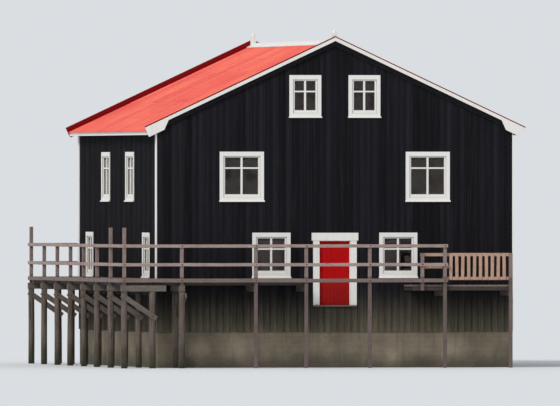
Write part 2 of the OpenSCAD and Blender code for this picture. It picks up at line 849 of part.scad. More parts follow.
// Cap beam of one bent, across its two piles
module cap(deck_w) {
    box([-(deck_w + (post_w + pile_d) / 2), -cap_w / 2, cap_bottom_z], [0, cap_w / 2, cap_top_z]);
}

module piles() {
    color([0.42, 0.37, 0.33]) {
        for (y = left_bents) bent_left(y) pile_pair(side_deck_w);
        bent_front(-front_pile_x) pile_pair(front_deck_w);
        for (x = back_bents) bent_back(x) pile_pair(back_deck_w);
    }
}

// Caps on the piles, and the lighter cross beams behind the square posts
module cap_beams() {
    color([0.40, 0.35, 0.31]) {
        for (y = left_bents) bent_left(y) cap(side_deck_w);
        bent_front(-front_pile_x) cap(front_deck_w);
        for (x = back_bents) bent_back(x) cap(back_deck_w);
        for (x = [-front_post_x, -(front_deck_end + post_w / 2)]) bent_front(x)
            box([-front_deck_w, -stringer_w / 2, cap_bottom_z], [0, stringer_w / 2, cap_top_z]);
        for (x = [balustrade_middle, balustrade_end]) bent_front(x)
            box([-front_deck_w, -stringer_w / 2, right_beam_bottom_z], [0, stringer_w / 2, right_beam_top_z]);
    }
}

module braces() {
    color([0.36, 0.31, 0.28]) {
        for (y = left_bents) bent_left(y) brace(side_deck_w);
        bent_front(-front_pile_x) brace(front_deck_w);
        for (x = back_bents) bent_back(x) brace(back_deck_w);
    }
}

// Stringers side by side from the wall's face to the deck's edge
module stringers(deck_w, height, length) {
    pitch = (deck_w - stringer_w) / (stringer_count - 1);
    for (i = [0:stringer_count - 1])
        translate([-i * pitch - stringer_w, 0, 0]) cube([stringer_w, length, height]);
}
module stringers_left() {
    color([0.40, 0.35, 0.31])
    translate([-half_w, deck_front_y, cap_top_z])
        stringers(side_deck_w, stringer_h, deck_back_y - deck_front_y);
}
module stringers_ends() {
    color([0.40, 0.35, 0.31]) {
        translate([-front_deck_end, front_y, cap_top_z]) rotate([0, 0, 90])
            stringers(front_deck_w, stringer_h, half_w - front_deck_end);
        translate([right_deck_end, front_y, right_beam_top_z]) rotate([0, 0, 90])
            stringers(front_deck_w, right_stringer_h, right_deck_end - right_deck_start);
        translate([-half_w, back_y, cap_top_z]) rotate([0, 0, -90])
            stringers(back_deck_w, stringer_h, house_w);
    }
}

// Boards of the deck along the left wall and round both corners
module deck_left() {
    color([0.50, 0.45, 0.40])
    box([deck_edge_x, deck_front_y, stringer_top_z], [-half_w, deck_back_y, deck_z]);
}

// Boards of the decks along the front wall, up to the door, and the back wall
module deck_ends() {
    color([0.50, 0.45, 0.40]) {
        box([-half_w, deck_front_y, stringer_top_z], [-front_deck_end, front_y, deck_z]);
        box([-half_w, back_y, stringer_top_z], [half_w, deck_back_y, deck_z]);
    }
}

// Boards of the lower deck on the right of the door
module deck_right() {
    color([0.50, 0.45, 0.40])
    box([right_deck_start, deck_front_y, right_stringer_top_z], [right_deck_end, front_y, right_deck_z]);
}

// One square post with its middle at x and y
module post(x, y, bottom_z, top_z) {
    translate([x - post_w / 2, y - post_w / 2, bottom_z]) cube([post_w, post_w, top_z - bottom_z]);
}

// Posts on the caps, and the posts in front of the gable that run down to the ground
module rail_posts() {
    color([0.52, 0.46, 0.42]) {
        for (i = [0:side_bays])
            post(left_post_x, left_bents[i], cap_top_z,
                 (i == 0 || i == 1 || i == side_bays) ? tall_post_z : rail_top_z);
        post(-front_pile_x, front_post_y, cap_top_z, rail_top_z);
        for (x = back_bents) post(x, back_post_y, cap_top_z, rail_top_z);
        for (x = [-front_post_x, -(front_deck_end + post_w / 2), door_post_x, balustrade_middle])
            post(x, front_post_y, 0, rail_top_z);
        post(balustrade_start, front_post_y, right_beam_top_z, right_deck_z + balustrade_h);
        post(balustrade_end, front_post_y, 0, right_deck_z + balustrade_h);
    }
}

// Top rail, middle rail and edge board, as heights of their tops and their depths
rail_rows = [[rail_top_z, rail_h], [deck_z + rail_mid_h, rail_h], [deck_z, edge_board_h]];

module rails_left() {
    color([0.58, 0.50, 0.47])
    for (r = rail_rows)
        box([deck_edge_x - post_w - rail_t, deck_front_y - post_w - rail_t, r[0] - r[1]],
            [deck_edge_x - post_w, deck_back_y + post_w + rail_t, r[0]]);
}

// Rails of the front and back decks, and the return at the back deck's right end
module rails_ends() {
    start_x = deck_edge_x - post_w;
    last_x = back_last_x + post_w / 2;
    color([0.58, 0.50, 0.47]) {
        for (r = rail_rows) {
            box([start_x, deck_front_y - post_w - rail_t, r[0] - r[1]],
                [front_rail_x, deck_front_y - post_w, r[0]]);
            box([start_x, deck_back_y + post_w, r[0] - r[1]],
                [last_x, deck_back_y + post_w + rail_t, r[0]]);
        }
        for (i = [0, 1])
            box([last_x, back_y, rail_rows[i][0] - rail_h],
                [last_x + rail_t, deck_back_y + post_w - return_rail_gap, rail_rows[i][0]]);
    }
}

// Balustrade of the right deck: two rails at the left, then upright boards on two rails
module balustrade_right() {
    back = deck_front_y + rail_t;
    top_z = right_deck_z + balustrade_h;
    mid_top_z = top_z - balustrade_mid_drop;
    low_top_z = right_deck_z + balustrade_low_h;
    baluster_z = top_z - baluster_reveal - baluster_l;
    first_x = balustrade_middle + post_w / 2 + baluster_gap;
    last_x = balustrade_end - post_w / 2 - baluster_gap - baluster_w;
    count = ceil((last_x - first_x) / (baluster_w + baluster_gap));
    pitch = (last_x - first_x) / count;
    color([0.72, 0.56, 0.45]) {
        box([balustrade_start - post_w / 2, deck_front_y, top_z - rail_h],
            [balustrade_end + post_w / 2, back, top_z]);
        box([balustrade_start - post_w / 2, deck_front_y, mid_top_z - rail_h],
            [first_x + baluster_w, back, mid_top_z]);
        box([balustrade_middle - post_w / 2, deck_front_y, low_top_z - rail_h],
            [balustrade_end + post_w / 2, back, low_top_z]);
        for (i = [0:count]) translate([first_x + i * pitch, deck_front_y - baluster_t, baluster_z])
            cube([baluster_w, baluster_t, baluster_l]);
    }
}

foundation_ends();
foundation_sides();
ground_floor();
upper_floor();
attic_floor();
front_wall_left();
front_wall_right();
front_wall_middle();
front_gable();
back_wall();
left_wall();
right_wall();
corner_boards();
window_frames_front();
window_frames_back();
window_frames_left();
window_frames_right();
window_glass();
door_threshold();
door_jambs();
door_head();
hinge_pintles();
door_leaf();
hinge_straps();
door_knobs();
roof_deck_left();
roof_deck_right();
roof_sheet_left();
roof_sheet_right();
ridge_cap();
finials();
barge_boards_left();
barge_boards_right();
eave_boards();
piles();
cap_beams();
braces();
stringers_left();
stringers_ends();
deck_left();
deck_ends();
deck_right();
rail_posts();
rails_left();
rails_ends();
balustrade_right();
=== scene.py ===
"""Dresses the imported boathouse: cladding, roof, windows, door, timbers, finishes, light and camera."""

import json
import math
import random

import bmesh
import bpy
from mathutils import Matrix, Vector

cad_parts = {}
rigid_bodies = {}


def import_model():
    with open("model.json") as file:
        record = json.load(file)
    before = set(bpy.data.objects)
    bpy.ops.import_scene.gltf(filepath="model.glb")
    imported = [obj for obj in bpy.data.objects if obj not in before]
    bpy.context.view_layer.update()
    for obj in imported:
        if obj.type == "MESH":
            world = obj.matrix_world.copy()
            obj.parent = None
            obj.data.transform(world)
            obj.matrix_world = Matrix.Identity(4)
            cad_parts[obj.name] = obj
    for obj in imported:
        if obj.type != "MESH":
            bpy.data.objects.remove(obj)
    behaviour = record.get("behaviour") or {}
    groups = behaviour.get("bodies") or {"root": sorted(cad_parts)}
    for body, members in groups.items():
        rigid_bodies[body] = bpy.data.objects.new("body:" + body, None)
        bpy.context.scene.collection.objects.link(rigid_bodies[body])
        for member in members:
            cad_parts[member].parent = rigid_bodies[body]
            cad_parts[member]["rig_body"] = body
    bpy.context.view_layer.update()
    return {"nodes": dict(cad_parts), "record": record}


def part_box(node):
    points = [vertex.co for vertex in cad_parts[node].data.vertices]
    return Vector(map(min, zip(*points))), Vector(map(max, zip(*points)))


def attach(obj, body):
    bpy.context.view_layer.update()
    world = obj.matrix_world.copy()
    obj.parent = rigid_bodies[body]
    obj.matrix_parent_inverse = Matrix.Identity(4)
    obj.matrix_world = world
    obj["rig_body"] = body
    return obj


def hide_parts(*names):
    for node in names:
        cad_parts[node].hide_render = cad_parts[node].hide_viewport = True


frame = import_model()
NODES = frame["nodes"]
SLOTS = {part["node"]: part["material_slot"] for part in frame["record"]["subparts"]}
RANDOM = random.Random(7)

# Cladding, in metres as all sizes here
BATTEN_PITCH = 0.2
BATTEN_WIDTH = 0.05
BATTEN_DEPTH = 0.022
BATTEN_MARGIN = 0.004
BATTEN_CHAMFER = 0.005
BATTEN_TOP_GAP = 0.02
SHORTEST_BATTEN = 0.04
JAMB_FOOT = 0.05
DECK_FOOT = 0.1
BLOCK_EDGE = 0.01
PALE_FOOT_TOP = 2.4
# Roof sheets and their screws, with rows in shares of a course and a head's radius, height and sides
WAVE_PITCH = 0.0762
WAVE_HEIGHT = 0.018
WAVE_STEPS = 8
SHEET_WAVES = 11
SHEET_COURSES = 3
SHEET_LAP = 0.15
COURSE_LIFT = 0.005
SIDE_LIFT = 0.003
CREST_SINK = 0.008
METAL_T = 0.0012
SCREW_ROWS = (0.12, 0.54, 0.97)
SCREW_WAVES = 3
SCREW_SINK = 0.006
SCREW_SIZE = (0.009, 0.007, 6)
# Capping and flashings, with the roll's foot in roll radii and its turn under in half turns
CAP_LENGTH = 2.1
CAP_LAP = 0.06
CAP_LIFT = 0.003
CAP_RISE = 0.010
CAP_EDGE = 0.006
CAP_ROLL = 0.026
CAP_ROLL_FOOT = 1.3
CAP_ROLL_UNDER = 0.12
CAP_ROLL_RISE = 0.018
CAP_ROLL_STEPS = 8
CAP_SCREWS = 6
CAP_SCREW_START = 0.3
CAP_SCREW_INSET = 0.03
CAP_SCREW_LIFT = 0.001
CAP_SCREW_SIZE = (0.008, 0.006, 6)
FLASHING_FLAT = 0.11
FLASHING_RISE = 0.003
FLASHING_EDGE = 0.004
FLASHING_LIP = 0.03
FLASHING_TURN = (0.024, 0.020)
FLASHING_END_GAP = 0.0015
# Window bars, casings and sashes
MULLION_WIDTH = 0.058
TRANSOM_WIDTH = 0.042
TRANSOM_DROP = 0.245
BAR_DEPTH = 0.034
TRANSOM_STEP = 0.004
BAR_ROUNDING = 0.006
PUTTY_WIDTH = 0.012
PUTTY_EDGE = 0.0005
SASH_SET = 0.035
REBATE_SIDE = 0.025
REBATE_HEAD = 0.07
REBATE_FOOT = 0.02
JOINERY_CHAMFER = 0.003
# Boards and timbers
DOOR_BOARDS = 8
DOOR_JOINT = 0.0004
DOOR_UNEVEN = 0.0008
DOOR_CHAMFER = 0.006
BOARD_WIDTH = 0.14
BOARD_GAP = 0.007
BOARD_CHAMFER = 0.005
BOARD_SHORT = 0.006
BOARD_DROP = 0.003
BALUSTER_T = 0.02
BALUSTER_LEAN = 0.006
BALUSTER_CHAMFER = 0.004
TIMBER_CHAMFER = 0.008
TIMBER_BOWS = {
    "cap_beams": 0.0, "braces": 0.0, "stringers_left": 0.0, "stringers_ends": 0.0,
    "rail_posts": 0.002, "rails_left": 0.004, "rails_ends": 0.004,
}
BALUSTRADE_CHAMFER = 0.006
BALUSTRADE_BOW = 0.002
BOW_PITCH = 0.9
GRAIN_SPREAD = 50
# Piles, with their size, taper and lobes in radii
LOG_SIDES = 20
LOG_RINGS = 10
LOG_SWAY = 0.006
LOG_SIZE = 0.955
LOG_TAPER = 0.05
LOG_LOBES = (0.022, 0.014)
# Bolts: the washer's radius in head radii, its height and the head's
BOLT_RADIUS = 0.014
BRACE_BOLT = (1.9, 0.004, 0.009)
RAIL_BOLT = (1.7, 0.003, 0.008)
BOLT_SEAT = 0.002
BRACE_END = 0.12
RAIL_REACH = 0.09
# Studio, with linear colours
FLOOR_RADIUS = 34
FLOOR_SIDES = 96
FLOOR_FADE = (16, 32)
FLOOR_DROP = 0.002
FLOOR_COLOUR = (0.74, 0.75, 0.76)
SKY_COLOUR = (0.88, 0.93, 1.0)
SKY_STRENGTH = 0.62
BACKDROP_COLOUR = (0.70, 0.73, 0.76)
LAMP_COLOUR = (1.0, 0.97, 0.93)
LAMP_STRENGTH = 2.1
LAMP_SPREAD = math.radians(18)
LAMP_SIDE = (-0.62, -0.55, 0.62)
# Camera, with its sensor and lens in millimetres
CAMERA_TURN = math.radians(-11.2)
CAMERA_DISTANCE = 550.0
CAMERA_HEIGHT = 5.4
CAMERA_TARGET = (-0.55, 5.4, 4.85)
CAMERA_SENSOR = 36
CAMERA_LENS = 1186
CAMERA_REACH = 2000


# Helpers for reading the frame

def solids(name):
    """Corner points and face normals of each separate solid of a CAD node."""
    mesh = bmesh.new()
    mesh.from_mesh(NODES[name].data)
    bmesh.ops.remove_doubles(mesh, verts=mesh.verts, dist=1e-5)
    left = set(mesh.verts)
    found = []
    for first in mesh.verts:
        if first not in left:
            continue
        left.remove(first)
        stack = [first]
        points = []
        normals = []
        while stack:
            vert = stack.pop()
            points.append(vert.co.copy())
            normals.extend(face.normal.copy() for face in vert.link_faces)
            for edge in vert.link_edges:
                other = edge.other_vert(vert)
                if other in left:
                    left.remove(other)
                    stack.append(other)
        found.append((points, normals))
    mesh.free()
    return found


def span(points):
    """Lowest and highest corners of a list of points."""
    low = Vector([min(p[i] for p in points) for i in range(3)])
    high = Vector([max(p[i] for p in points) for i in range(3)])
    return low, high


def boxes(name):
    """Lowest and highest corners of each separate solid of a CAD node."""
    return sorted((span(points) for points, _ in solids(name)), key=lambda b: tuple(b[0]))


def levels_of(points, axis):
    """The places along an axis where a solid has corners, from low to high."""
    return sorted({round(p[axis], 4) for p in points})


def oriented_box(points, normals):
    """Centre of a solid that is a box at any angle, then its axes and sizes, the longest first."""
    axes = []
    for normal in normals:
        if normal.length > 0.5 and all(abs(normal.dot(axis)) < 0.1 for axis in axes):
            axes.append(normal.normalized())
    centre = Vector()
    found = []
    for axis in axes:
        reach = [p.dot(axis) for p in points]
        found.append((max(reach) - min(reach), axis))
        centre += axis * (max(reach) + min(reach)) / 2
    sizes, axes = zip(*sorted(found, key=lambda pair: -pair[0]))
    return centre, axes, sizes


# Sizes read from the frame

WALL_LOW, WALL_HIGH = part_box("back_wall")
HALF_W = WALL_HIGH.x
FRONT_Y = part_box("front_gable")[0].y
BACK_Y = WALL_HIGH.y
WALL_FOOT = WALL_LOW.z
SIDE_TOP = max(p.z for p in solids("left_wall")[0][0] if abs(p.x + HALF_W) < 1e-4)
SLOPE = (WALL_HIGH.z - SIDE_TOP) / HALF_W
PITCH = math.atan(SLOPE)
WALLS = (
    ("front", 0, -1, FRONT_Y), ("back", 0, 1, BACK_Y),
    ("left", 1, -1, -HALF_W), ("right", 1, 1, HALF_W),
)
BATTENS = (round(2 * HALF_W / BATTEN_PITCH), round((BACK_Y - FRONT_Y) / BATTEN_PITCH))
GLASS_INSET = min(low.y for low, _ in boxes("window_glass")) - FRONT_Y
DECK_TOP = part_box("deck_left")[1].z
CAP_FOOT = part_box("cap_beams")[0].z
PILES = [b for b in boxes("piles") if b[1].z - b[0].z > 1]
SHEET_LOW, SHEET_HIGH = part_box("roof_sheet_left")
SHEET_CORNERS = solids("roof_sheet_left")[0][0]
ROOF_TOP = sorted({round(p.z, 4) for p in SHEET_CORNERS if abs(p.x) < 1e-4})[-2]
ROOF_RUN = -min(SHEET_CORNERS, key=lambda p: p.z).x
END_LEAN = math.cos(PITCH) * math.sin(PITCH)
BARGE_LOW, BARGE_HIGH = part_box("barge_boards_left")
BARGE_T = SHEET_LOW.y - BARGE_LOW.y
BARGE_RISE = BARGE_HIGH.z - ROOF_TOP
CAP_LOW, CAP_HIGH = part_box("ridge_cap")


# Helpers for building meshes

def on_axis(axis, amount):
    """A vector along one axis."""
    vector = Vector()
    vector[axis] = amount
    return vector


def wall_point(axis, along, out, z):
    """A point from its places along and across a wall and its height."""
    return Vector((out, along, z) if axis else (along, out, z))


def pairs_of(levels):
    """Levels two by two, as the edges of board after board."""
    return zip(levels[::2], levels[1::2])


def in_scene(name, data):
    """An object of some data, put into the scene."""
    obj = bpy.data.objects.new(name, data)
    bpy.context.scene.collection.objects.link(obj)
    return obj


def mesh_data(name, mesh, material):
    """Turns a bmesh into mesh data with one material."""
    data = bpy.data.meshes.new(name)
    mesh.to_mesh(data)
    mesh.free()
    data.materials.append(material)
    return data


def new_object(name, mesh, material, body="house"):
    """Turns a bmesh into an object that rides on a body and has one material."""
    bmesh.ops.recalc_face_normals(mesh, faces=mesh.faces)
    obj = in_scene(name, mesh_data(name, mesh, material))
    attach(obj, body)
    return obj


def timber_mesh():
    """An empty bmesh with the layers that the timber materials read."""
    mesh = bmesh.new()
    mesh.loops.layers.uv.new("grain")
    mesh.verts.layers.float.new("tint")
    return mesh


def new_ring(mesh, places, tone=None):
    """Points of one row or ring, with a tone where the mesh has tints."""
    ring = [mesh.verts.new(place) for place in places]
    if tone is not None:
        tint = mesh.verts.layers.float["tint"]
        for vert in ring:
            vert[tint] = tone
    return ring


def join_rows(mesh, low, high):
    """Faces between two rows of as many points."""
    return [mesh.faces.new(corners) for corners in zip(low, low[1:], high[1:], high)]


def join_rings(mesh, low, high):
    """Faces between two closed rings of as many points."""
    return join_rows(mesh, low + low[:1], high + high[:1])


def join_timber_rings(mesh, low, high, start, end, around, offset):
    """Faces between two rings, with grain coordinates from start to end and round the timber."""
    grain = mesh.loops.layers.uv["grain"]
    faces = join_rings(mesh, low, high)
    for face, a, b in zip(faces, around, around[1:]):
        for loop, value in zip(face.loops, ((start, a), (start, b), (end, b), (end, a))):
            loop[grain].uv = Vector(value) + offset
    return faces


def grain_offset():
    """A random place in the grain, so that no two timbers look the same."""
    return Vector((RANDOM.uniform(0, GRAIN_SPREAD), RANDOM.uniform(0, GRAIN_SPREAD)))


def add_timber(mesh, start, end, side, up, chamfer, bow=0.0):
    """One sawn timber from start to end, with half-sizes side and up, chamfered edges and slight bow."""
    length = (end - start).length
    direction = (end - start) / length
    tone = RANDOM.random()
    offset = grain_offset()
    half_side = side.length
    half_up = up.length
    side_unit = side / half_side
    up_unit = up / half_up
    chamfer = min(chamfer, half_side * 0.4, half_up * 0.4)
    steps = max(1, int(length / BOW_PITCH)) if bow else 1
    flat_side = half_side - chamfer
    flat_up = half_up - chamfer
    corners = [(half_side, -flat_up), (half_side, flat_up), (flat_side, half_up), (-flat_side, half_up)]
    corners += [(-a, -b) for a, b in corners]
    stations = [(0.0, chamfer), (chamfer, 0.0)]
    stations += [(length * i / steps, 0.0) for i in range(1, steps)]
    stations += [(length - chamfer, 0.0), (length, chamfer)]
    rings = []
    for distance, shrink in stations:
        middle = start + direction * distance
        if bow and chamfer < distance < length - chamfer:
            middle += side_unit * RANDOM.uniform(-bow, bow) + up_unit * RANDOM.uniform(-bow, bow)
        wide = side_unit * (1 - shrink / half_side)
        high = up_unit * (1 - shrink / half_up)
        rings.append(new_ring(mesh, [middle + wide * a + high * b for a, b in corners], tone))
    around = [0.0]
    for a, b in zip(corners, corners[1:] + corners[:1]):
        around.append(around[-1] + math.dist(a, b))
    for i in range(len(rings) - 1):
        join_timber_rings(mesh, rings[i], rings[i + 1], stations[i][0], stations[i + 1][0], around, offset)
    grain = mesh.loops.layers.uv["grain"]
    for ring in (rings[0][::-1], rings[-1]):
        for loop in mesh.faces.new(ring).loops:
            flat = loop.vert.co - start
            loop[grain].uv = Vector((flat.dot(side_unit) * 0.4, flat.dot(up_unit))) + offset


def add_board(mesh, way, low, high):
    """One board of the joinery between two corners, with its grain along an axis."""
    half = (high - low) / 2
    middle = (low + high) / 2
    reach, side, up = (on_axis(i % 3, half[i % 3]) for i in range(way, way + 3))
    add_timber(mesh, middle - reach, middle + reach, side, up, JOINERY_CHAMFER)


def add_dome(mesh, centre, normal, radius, height, sides=8):
    """A low domed head, such as a bolt's or a screw's, standing on a surface."""
    side = normal.orthogonal().normalized()
    other = normal.cross(side)
    turns = [math.tau * i / sides for i in range(sides)]
    flats = [side * math.cos(turn) + other * math.sin(turn) for turn in turns]
    rings = [new_ring(mesh, [centre + flat * radius * share + normal * height * level for flat in flats])
             for share, level in ((1.0, 0.0), (1.0, 0.35), (0.62, 0.85))]
    top = mesh.verts.new(centre + normal * height)
    for low, high in zip(rings, rings[1:]):
        join_rings(mesh, low, high)
    for i in range(sides):
        mesh.faces.new((rings[-1][i], rings[-1][(i + 1) % sides], top))


def add_bolt(mesh, place, outward, size):
    """A bolt head on its washer."""
    washer, washer_height, head_height = size
    add_dome(mesh, place, outward, BOLT_RADIUS * washer, washer_height, 10)
    add_dome(mesh, place + outward * BOLT_SEAT, outward, BOLT_RADIUS, head_height)


def add_sweep(mesh, rows, tone=None):
    """Faces between neighbouring rows of points, as for folded metal."""
    made = [new_ring(mesh, row, tone) for row in rows]
    for row, following in zip(made, made[1:]):
        join_rows(mesh, row, following)


def thicken(obj):
    """Real thickness for a piece of metal drawn as one skin."""
    solid = obj.modifiers.new("thickness", "SOLIDIFY")
    solid.thickness = METAL_T
    solid.offset = -1


# Materials

EVEN = (1, 1, 1)
# Dark and pale tar, paler boards towards the foot and boards inside, then tar's wear, clouds, grain and
# painted shade beside the battens
TAR = ((0.0035, 0.0034, 0.0050), (0.0150, 0.0146, 0.0205))
FOOT_TONES = ((0.104, 0.091, 0.058), (0.236, 0.204, 0.135))
LINING = ((0.30, 0.27, 0.22), (0.42, 0.38, 0.32))
WORN_TAR = (0.030, 0.028, 0.032)
TAR_CLOUD = (0.018, 0.018, 0.025)
TAR_GRAIN = (0.002, 0.002, 0.0025)
BATTEN_SHADE = (0.001, 0.001, 0.001)


def shaded(colour, share):
    """A colour made darker or lighter."""
    return [c * share for c in colour]


class Nodes:
    """A node tree, with short ways to add and join its nodes."""

    def __init__(self, tree):
        """Nodes are added to this tree."""
        self.tree = tree

    def add(self, kind, settings=None, **inputs):
        """A node with its settings, and its inputs, by name or as i and a number, set or joined."""
        node = self.tree.nodes.new("ShaderNode" + kind)
        for key, value in (settings or {}).items():
            setattr(node, key, value)
        for key, value in inputs.items():
            socket = node.inputs[int(key[1:])] if key[0] == "i" else node.inputs[key]
            self.put(value, socket)
        return node

    def put(self, value, socket):
        """Joins an output to a socket, or sets the socket to a value."""
        if isinstance(value, bpy.types.NodeSocket):
            self.tree.links.new(value, socket)
        elif isinstance(value, (tuple, list)) and socket.type == "RGBA":
            socket.default_value = (*value[:3], 1.0)
        else:
            socket.default_value = value

    def ramp(self, factor, *stops):
        """Colours or grey levels at places along a factor."""
        node = self.add("ValToRGB", Fac=factor)
        ramp = node.color_ramp
        while len(ramp.elements) < len(stops):
            ramp.elements.new(0.5)
        for element, (place, value) in zip(ramp.elements, stops):
            element.position = place
            colour = value if isinstance(value, (tuple, list)) else (value, value, value)
            element.color = (*colour[:3], 1.0)
        return node.outputs["Color"]

    def rise(self, factor, low, high, top=1.0):
        """A grey level that rises from 0 to its top between two values."""
        return self.ramp(factor, (low, 0.0), (high, top))

    def mix(self, factor, a, b, share=None):
        """Colour a, or b where the factor is 1, or only a share of it."""
        if share:
            factor = self.times(factor, share)
        return self.add("Mix", {"data_type": "RGBA"}, Factor=factor, i6=a, i7=b).outputs[2]

    def math(self, operation, a, b=0.0):
        """One sum with two numbers or sockets."""
        return self.add("Math", {"operation": operation}, i0=a, i1=b).outputs[0]

    def smooth(self, value, low, high):
        """A soft step from 0 to 1 between two values."""
        limits = {"From Min": low, "From Max": high}
        node = self.add("MapRange", {"interpolation_type": "SMOOTHSTEP"}, Value=value, **limits)
        return node.outputs["Result"]

    def plus(self, a, b):
        """a + b"""
        return self.math("ADD", a, b)

    def minus(self, a, b):
        """a - b"""
        return self.math("SUBTRACT", a, b)

    def times(self, a, b):
        """a * b"""
        return self.math("MULTIPLY", a, b)


class Finish(Nodes):
    """Node tree of one material."""

    def __init__(self, name, roughness, specular, metallic=0.0):
        """A new material with its three plain settings."""
        self.material = bpy.data.materials.new(name)
        self.material.use_nodes = True
        super().__init__(self.material.node_tree)
        self.shader = self.tree.nodes["Principled BSDF"]
        plain = {"Roughness": roughness, "Specular IOR Level": specular, "Metallic": metallic}
        for key, value in plain.items():
            self.put(value, self.shader.inputs[key])

    def place(self, stretch, base):
        """Coordinates that are stretched."""
        return self.add("Mapping", Vector=base, Scale=stretch).outputs["Vector"]

    def along(self):
        """Coordinates that follow each timber."""
        return self.add("UVMap", {"uv_map": "grain"}).outputs["UV"]

    def noise(self, stretch, scale, detail=4.0, rough=0.55, distortion=0.0, base=None):
        """Noise over stretched coordinates, from 0 to 1."""
        place = self.place(stretch, base or self.add("TexCoord").outputs["Object"])
        return self.add("TexNoise", Vector=place, Scale=scale, Detail=detail, Roughness=rough,
                        Distortion=distortion).outputs["Fac"]

    def grain(self, *settings):
        """Noise that follows each timber."""
        return self.noise(*settings, base=self.along())

    def tint(self):
        """The tone that each timber or sheet was given."""
        return self.add("Attribute", {"attribute_name": "tint"}).outputs["Fac"]

    def board_tone(self, boards):
        """A random level for each whole number that a count of boards passes."""
        number = self.math("FLOOR", boards)
        return self.add("TexWhiteNoise", {"noise_dimensions": "1D"}, W=number).outputs["Value"]

    def axis(self, name):
        """One object coordinate."""
        return self.add("SeparateXYZ", Vector=self.add("TexCoord").outputs["Object"]).outputs[name]

    def bump(self, height, distance, strength):
        """Fine relief from a height between 0 and 1."""
        node = self.add("Bump", Height=height, Distance=distance, Strength=strength)
        self.put(node.outputs["Normal"], self.shader.inputs["Normal"])

    def colour(self, value):
        """What the surface's colour comes from."""
        self.put(value, self.shader.inputs["Base Color"])

    def roughness(self, value):
        """What the surface's roughness comes from."""
        self.put(value, self.shader.inputs["Roughness"])


def weathered_timber(name, pale, dark, stain, dull_below=None):
    """Grey sawn timber whose grain follows each piece, with knots and checks, and duller below a level."""
    f = Finish(name, 0.8, 0.2)
    grain = f.grain((1.6, 34, 1), 3.0, 8, 0.62, 0.4)
    fine = f.grain((5, 260, 1), 3.0, 4, 0.6)
    check = f.grain((0.9, 90, 1), 4.0, 2, 0.5, 0.6)
    check_line = f.rise(check, 0.335, 0.375)
    knots = f.add("TexVoronoi", Vector=f.place((1.1, 7, 1), f.along()), Scale=1.0)
    knot = f.ramp(knots.outputs["Distance"], (0.05, 1.0), (0.11, 0.0))
    tone = f.mix(f.rise(grain, 0.3, 0.72), dark, pale)
    tone = f.mix(f.tint(), tone, stain, 0.42)
    blotch = f.rise(f.noise(EVEN, 1.7, 5, 0.6), 0.38, 0.68, 0.55)
    tone = f.mix(blotch, tone, dark)
    tone = f.mix(knot, tone, shaded(dark, 0.4), 0.75)
    tone = f.mix(check_line, shaded(dark, 0.3), tone)
    if dull_below:
        level = f.plus(f.axis("Z"), f.times(f.minus(blotch, 0.3), 0.08))
        duller = f.mix(0.5, tone, (0.035, 0.028, 0.025))
        tone = f.mix(f.smooth(level, dull_below, dull_below - 0.05), tone, duller)
    f.colour(tone)
    height = f.plus(f.times(fine, 0.35), f.times(grain, 0.5))
    height = f.plus(height, f.times(check_line, 0.6))
    f.bump(height, 0.004, 0.8)
    return f.material


def round_timber(name, pale, dark):
    """Weathered round piles: grain along each log, long checks, wet and weedy feet."""
    f = Finish(name, 0.8, 0.2)
    grain = f.grain((1.3, 26, 1), 2.2, 8, 0.62, 0.5)
    check = f.grain((0.6, 24, 1), 2.4, 2, 0.5, 0.8)
    check_line = f.rise(check, 0.36, 0.40)
    tone = f.mix(f.rise(grain, 0.3, 0.7), dark, pale)
    tone = f.mix(f.tint(), tone, shaded(pale, 0.7), 0.45)
    blotch = f.rise(f.noise((1, 1, 0.6), 2.4, 5, 0.6), 0.4, 0.7, 0.7)
    tone = f.mix(blotch, tone, dark)
    tone = f.mix(check_line, shaded(dark, 0.3), tone)
    ragged = f.plus(f.axis("Z"), f.times(f.noise((4, 4, 2), 3.0), 0.5))
    wet = f.smooth(ragged, 1.15, 0.45)
    weed = f.times(wet, f.rise(f.noise(EVEN, 9.0, 6, 0.7), 0.4, 0.62, 0.8))
    tone = f.mix(wet, tone, (0.03, 0.027, 0.022), 0.8)
    tone = f.mix(weed, tone, (0.05, 0.052, 0.02))
    f.colour(tone)
    f.roughness(f.ramp(wet, (0.0, 0.82), (1.0, 0.5)))
    height = f.plus(f.times(grain, 0.6), f.times(check_line, 0.8))
    f.bump(f.plus(height, f.times(weed, 0.6)), 0.006, 0.8)
    return f.material


def inside_mask(f):
    """1 on faces inside the four walls, 0 outside them."""
    floor_low, floor_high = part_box("upper_floor")
    middle = (floor_low + floor_high) / 2
    half = (floor_high - floor_low) / 2
    masks = []
    for axis in (0, 1):
        offset = f.math("ABSOLUTE", f.minus(f.axis("XY"[axis]), middle[axis]))
        masks.append(f.math("LESS_THAN", offset, half[axis] + 0.004))
    return f.times(*masks)


